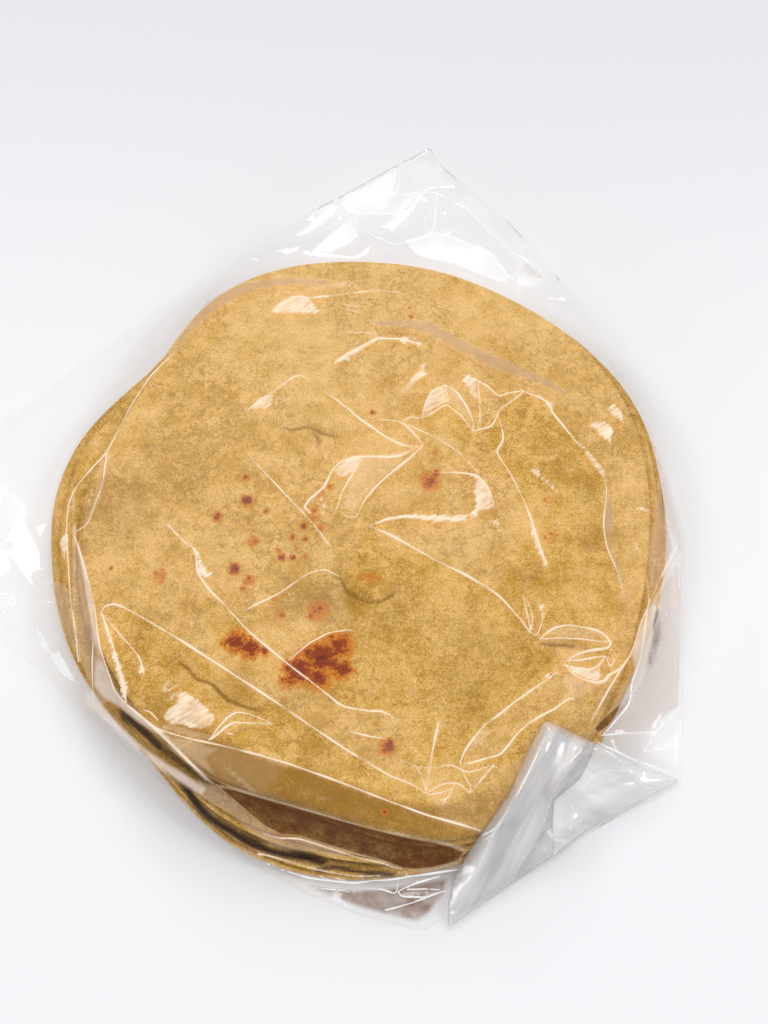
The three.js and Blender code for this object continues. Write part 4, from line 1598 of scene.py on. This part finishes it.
# %% Film material
FILM_TINT = (0.998, 0.996, 0.996, 1)
CREAM = (1.0, 0.82, 0.60, 1)
MILK = (0.88, 0.865, 0.85, 1)
GREY_MILK = (0.60, 0.595, 0.62, 1)
BEIGE = (0.82, 0.70, 0.60, 1)
LILAC = (0.66, 0.55, 0.50, 1)
ROSE = (0.60, 0.44, 0.33, 1)
MAUVE = (0.120, 0.040, 0.014, 1)
TAUPE = (0.25, 0.138, 0.090, 1)
WHITE = (1, 1, 1, 1)
# how milky each plain kind of mark is (the lines, halos, gleams and facets are painted highlights), and the
# colours of folds and of the painted shade panes, over the bread and off it
MARK_MILK = {"line": 0.85, "halo": 0.16, "gleam": 0.20, "veil_and_sheen": 0.07, "facet_highlight": 0.80, "haze": 0.36}
PANE_COLOURS = {"haze": (ROSE, LILAC), "shadow_pane": (MAUVE, TAUPE), "curtain": (BEIGE, BEIGE)}


def mixed(finish, share, first, second):
    return finish.node("ShaderNodeMixShader", None, {0: share, 1: first, 2: second})


def matt(finish, colour):
    return finish.node("ShaderNodeBsdfDiffuse", None, {"Color": colour})


def film_surface(finish, cloudy, milk, mirror, glance, roughness):
    """Clear film with a milky share, a share that it mirrors head-on and a larger one at a glancing angle."""
    glancing = finish.node("ShaderNodeLayerWeight", None, {"Blend": 0.5}, output="Facing")
    swell = finish.noise(finish.object_place(), 60.0, 2.0, 0.5)
    bump = finish.node("ShaderNodeBump", None, {"Strength": 0.2, "Distance": 0.002, "Height": swell})
    gloss_look = {"Color": WHITE, "Roughness": roughness, "Normal": bump}
    gloss = finish.node("ShaderNodeBsdfGlossy", None, gloss_look)
    clear = finish.node("ShaderNodeBsdfTransparent", None, {"Color": FILM_TINT})
    body = mixed(finish, cloudy, clear, milk)
    return finish.surface(mixed(finish, glancing ** 5.0 * glance + mirror, body, gloss))


def streaked(finish, turn, along, across):
    """Noise drawn out along one direction, in mm along it and across it."""
    sockets = {
        "Vector": finish.object_place(), "Rotation": (0, 0, math.radians(turn)),
        "Scale": (along * MM, across * MM, 1)}
    return finish.noise(finish.node("ShaderNodeMapping", {"vector_type": "TEXTURE"}, sockets), 1.0, 3.0)


def film_marks(finish, loose, mottle, brushed):
    """The share of each kind of mark at a place, from nothing to one, out of the depths on the mesh."""
    worn = finish.noise(finish.object_place(), 45.0, 3.0, 0.6)
    crease = finish.field("crease")
    curtain = finish.step(finish.field("curtain"), -0.3, 1.6)
    shadow_pane = finish.step(finish.field("shadow_pane"), loose * -0.6 - 0.4, loose * 1.6 + 0.9)
    haze = finish.step(finish.field("haze") + brushed * 1.5, -0.5, 1.2)
    return {
        # painted highlights along the crests, partly the whitening of creased film
        "line": finish.step(crease, -0.15, 0.15) * finish.step(worn, 0.25, 0.5),
        "halo": finish.step(crease, -1.4, 0.0) * finish.step(worn, 0.44, 0.64),
        "flash": finish.step(finish.field("flash") + brushed * 3.4 + mottle * 0.8, -0.2, 1.1),
        "gleam": finish.step(finish.field("gleam") + brushed * 3.0, -0.4, 1.4),
        # partly the milkiness of film that stands off the bread and partly a painted reflection of the light
        # overhead
        "veil_and_sheen": finish.step(finish.field("cling"), 2.2, -2.2),
        "facet_highlight": finish.step(finish.field("facet_highlight") + mottle * 1.5, -0.2, 1.2),
        "curtain": curtain,
        "shadow_pane": shadow_pane,
        "haze": haze * (1 - shadow_pane) * (1 - curtain),
    }


def film_milk(finish, loose, marks):
    """The milky share: cream over the bread, white off it, tinted in folds, and dark where shade is painted.
    """
    bare = (1 - marks["line"]) * (1 - marks["facet_highlight"])
    milk = mixed(finish, loose, matt(finish, CREAM), matt(finish, WHITE))
    for name, (over_bread, off_bread) in PANE_COLOURS.items():
        tinted = mixed(finish, loose, matt(finish, over_bread), matt(finish, off_bread))
        milk = mixed(finish, marks[name] * bare, milk, tinted)
    return milk


def bag_finish():
    """Clear film with cream lines and flashes painted as highlights, and a pale sheen where it doesn't cling.
    """
    finish = Finish("clear_film")
    loose = finish.step(finish.field("loose"), -0.5, 0.5)
    mottle = finish.noise(finish.object_place(), 420.0, 3.0, 0.6) - 0.5
    patchy = finish.noise(finish.object_place(), 120.0, 2.0, 0.5) - 0.5
    brushed = streaked(finish, 33, 8.0, 1.5) - 0.5
    marks = film_marks(finish, loose, mottle, brushed)
    cloudy = loose * 0.02
    for name, milkiness in MARK_MILK.items():
        cloudy = cloudy + marks[name] * milkiness
    cloudy = cloudy + marks["flash"] * (mottle * 0.5 + brushed * 1.5 + patchy * 1.4 + 0.70)
    cloudy = cloudy + marks["curtain"] * (patchy * 0.5 + 0.72)
    cloudy = cloudy + marks["shadow_pane"] * (patchy * 1.2 + mottle * (1 - loose) * 0.9 - loose * 0.2 + 0.78)
    milk = film_milk(finish, loose, marks)
    mirror = loose * 0.03 + 0.005
    glance = loose * 0.42 + 0.06
    return film_surface(finish, finish.clamped(cloudy), milk, mirror, glance, 0.38 - loose * 0.33)


def sleeve_finish(name, haze, lifted_haze, roughness, streak, dark, bright):
    """Doubled film of the mouth, with painted shade and light in milky streaks along one direction."""
    finish = Finish(name)
    streaks = streaked(finish, *streak)
    line = finish.step(finish.field("crease"), -0.25, 0.25)
    cloudy = finish.field("lifted") * lifted_haze + line * 0.35 + haze
    # painted shade and light: darker and lighter milk along the streaks
    milk = mixed(finish, finish.step(streaks, 0.34, 0.62), matt(finish, dark), matt(finish, bright))
    return film_surface(finish, cloudy, milk, 0.08, 0.25, roughness)


film.data.materials.append(bag_finish())
fold.data.materials.append(sleeve_finish("folded_film", 0.25, 0.58, 0.22, (61, 70.0, 9.0), GREY_MILK, MILK))
wing.data.materials.append(sleeve_finish("puffed_film", 0.40, 0.48, 0.10, (-18, 40.0, 8.0), MILK, WHITE))
print("film on the bag and its mouth")

# %% [markdown]
# ## Table and light
# The table is one pale seamless sheet, painted darker towards the back as painted shade. A large soft key
# stands behind the bag and to the right, so the shadow falls towards the viewer and to the left. Smaller
# bright panels stand where the creases mirror them, and a low fill in front lights the near side of the
# stack.

# %% Table
TABLE_SIZE = 8.0
NEAR_TABLE_LIT = (0.91, 0.912, 0.924, 1)
FAR_TABLE_SHADED = (0.75, 0.753, 0.77, 1)
bpy.ops.object.select_all(action="DESELECT")
bpy.ops.mesh.primitive_plane_add(size=TABLE_SIZE, location=(0, 0, 0))
table = bpy.context.object
table.name = "table"
table_finish = Finish("pale_table")
far_off = table_finish.node("ShaderNodeSeparateXYZ", None, {0: table_finish.object_place()}, output="Y")
# painted shade: the table's colour darkens towards the back
table_colour_with_falloff = table_finish.blend(table_finish.step(far_off, 0.02, 0.36), NEAR_TABLE_LIT, FAR_TABLE_SHADED)
table_look = {"Base Color": table_colour_with_falloff, "Roughness": 0.9}
table_shader = table_finish.node("ShaderNodeBsdfPrincipled", None, table_look)
table.data.materials.append(table_finish.surface(table_shader))
print("table laid")

# %% Light
# place and size in metres, power in watts, and whether the film mirrors it
LIGHTS = {
    "key": ((0.9, 1.7, 2.1), 1.4, 22.0, False),
    "ceiling": ((0.0, 1.45, 1.95), 1.25, 3.5, True),
    "left_panel": ((-0.95, 0.25, 0.85), 0.36, 3.4, True),
    "right_panel": ((0.95, -0.05, 0.85), 0.34, 3.0, True),
    "front_panel": ((-0.15, -1.0, 0.75), 0.36, 2.4, True),
    "back_panel": ((-0.15, 1.25, 0.75), 0.36, 3.0, True),
    "near_fill": ((-0.45, -1.1, 0.22), 0.5, 2.4, False),
}
for name, (place, size, power, mirrored) in LIGHTS.items():
    turn = (-Vector(place)).to_track_quat("-Z", "Y").to_euler()
    bpy.ops.object.light_add(type="AREA", location=place, rotation=turn)
    light = bpy.context.object
    light.name = name
    light.data.size = size
    light.data.energy = power
    light.visible_glossy = mirrored
world = bpy.data.worlds.new("studio")
bpy.context.scene.world = world
world.use_nodes = True
world.node_tree.nodes["Background"].inputs["Color"].default_value = (0.96, 0.97, 1.0, 1)
world.node_tree.nodes["Background"].inputs["Strength"].default_value = 0.37
bpy.context.scene.view_settings.view_transform = "Standard"
bpy.context.scene.cycles.transparent_max_bounces = 24
print(len(LIGHTS), "lights")

# %% [markdown]
# ## Hand the pieces to the part
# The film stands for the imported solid, and every piece rides on the part's one body.

# %% Ride, replace and finish
for tortilla in tortillas:
    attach(tortilla, "root")
for piece in (film, fold, wing):
    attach(piece, "root")
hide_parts("tortilla_bag")
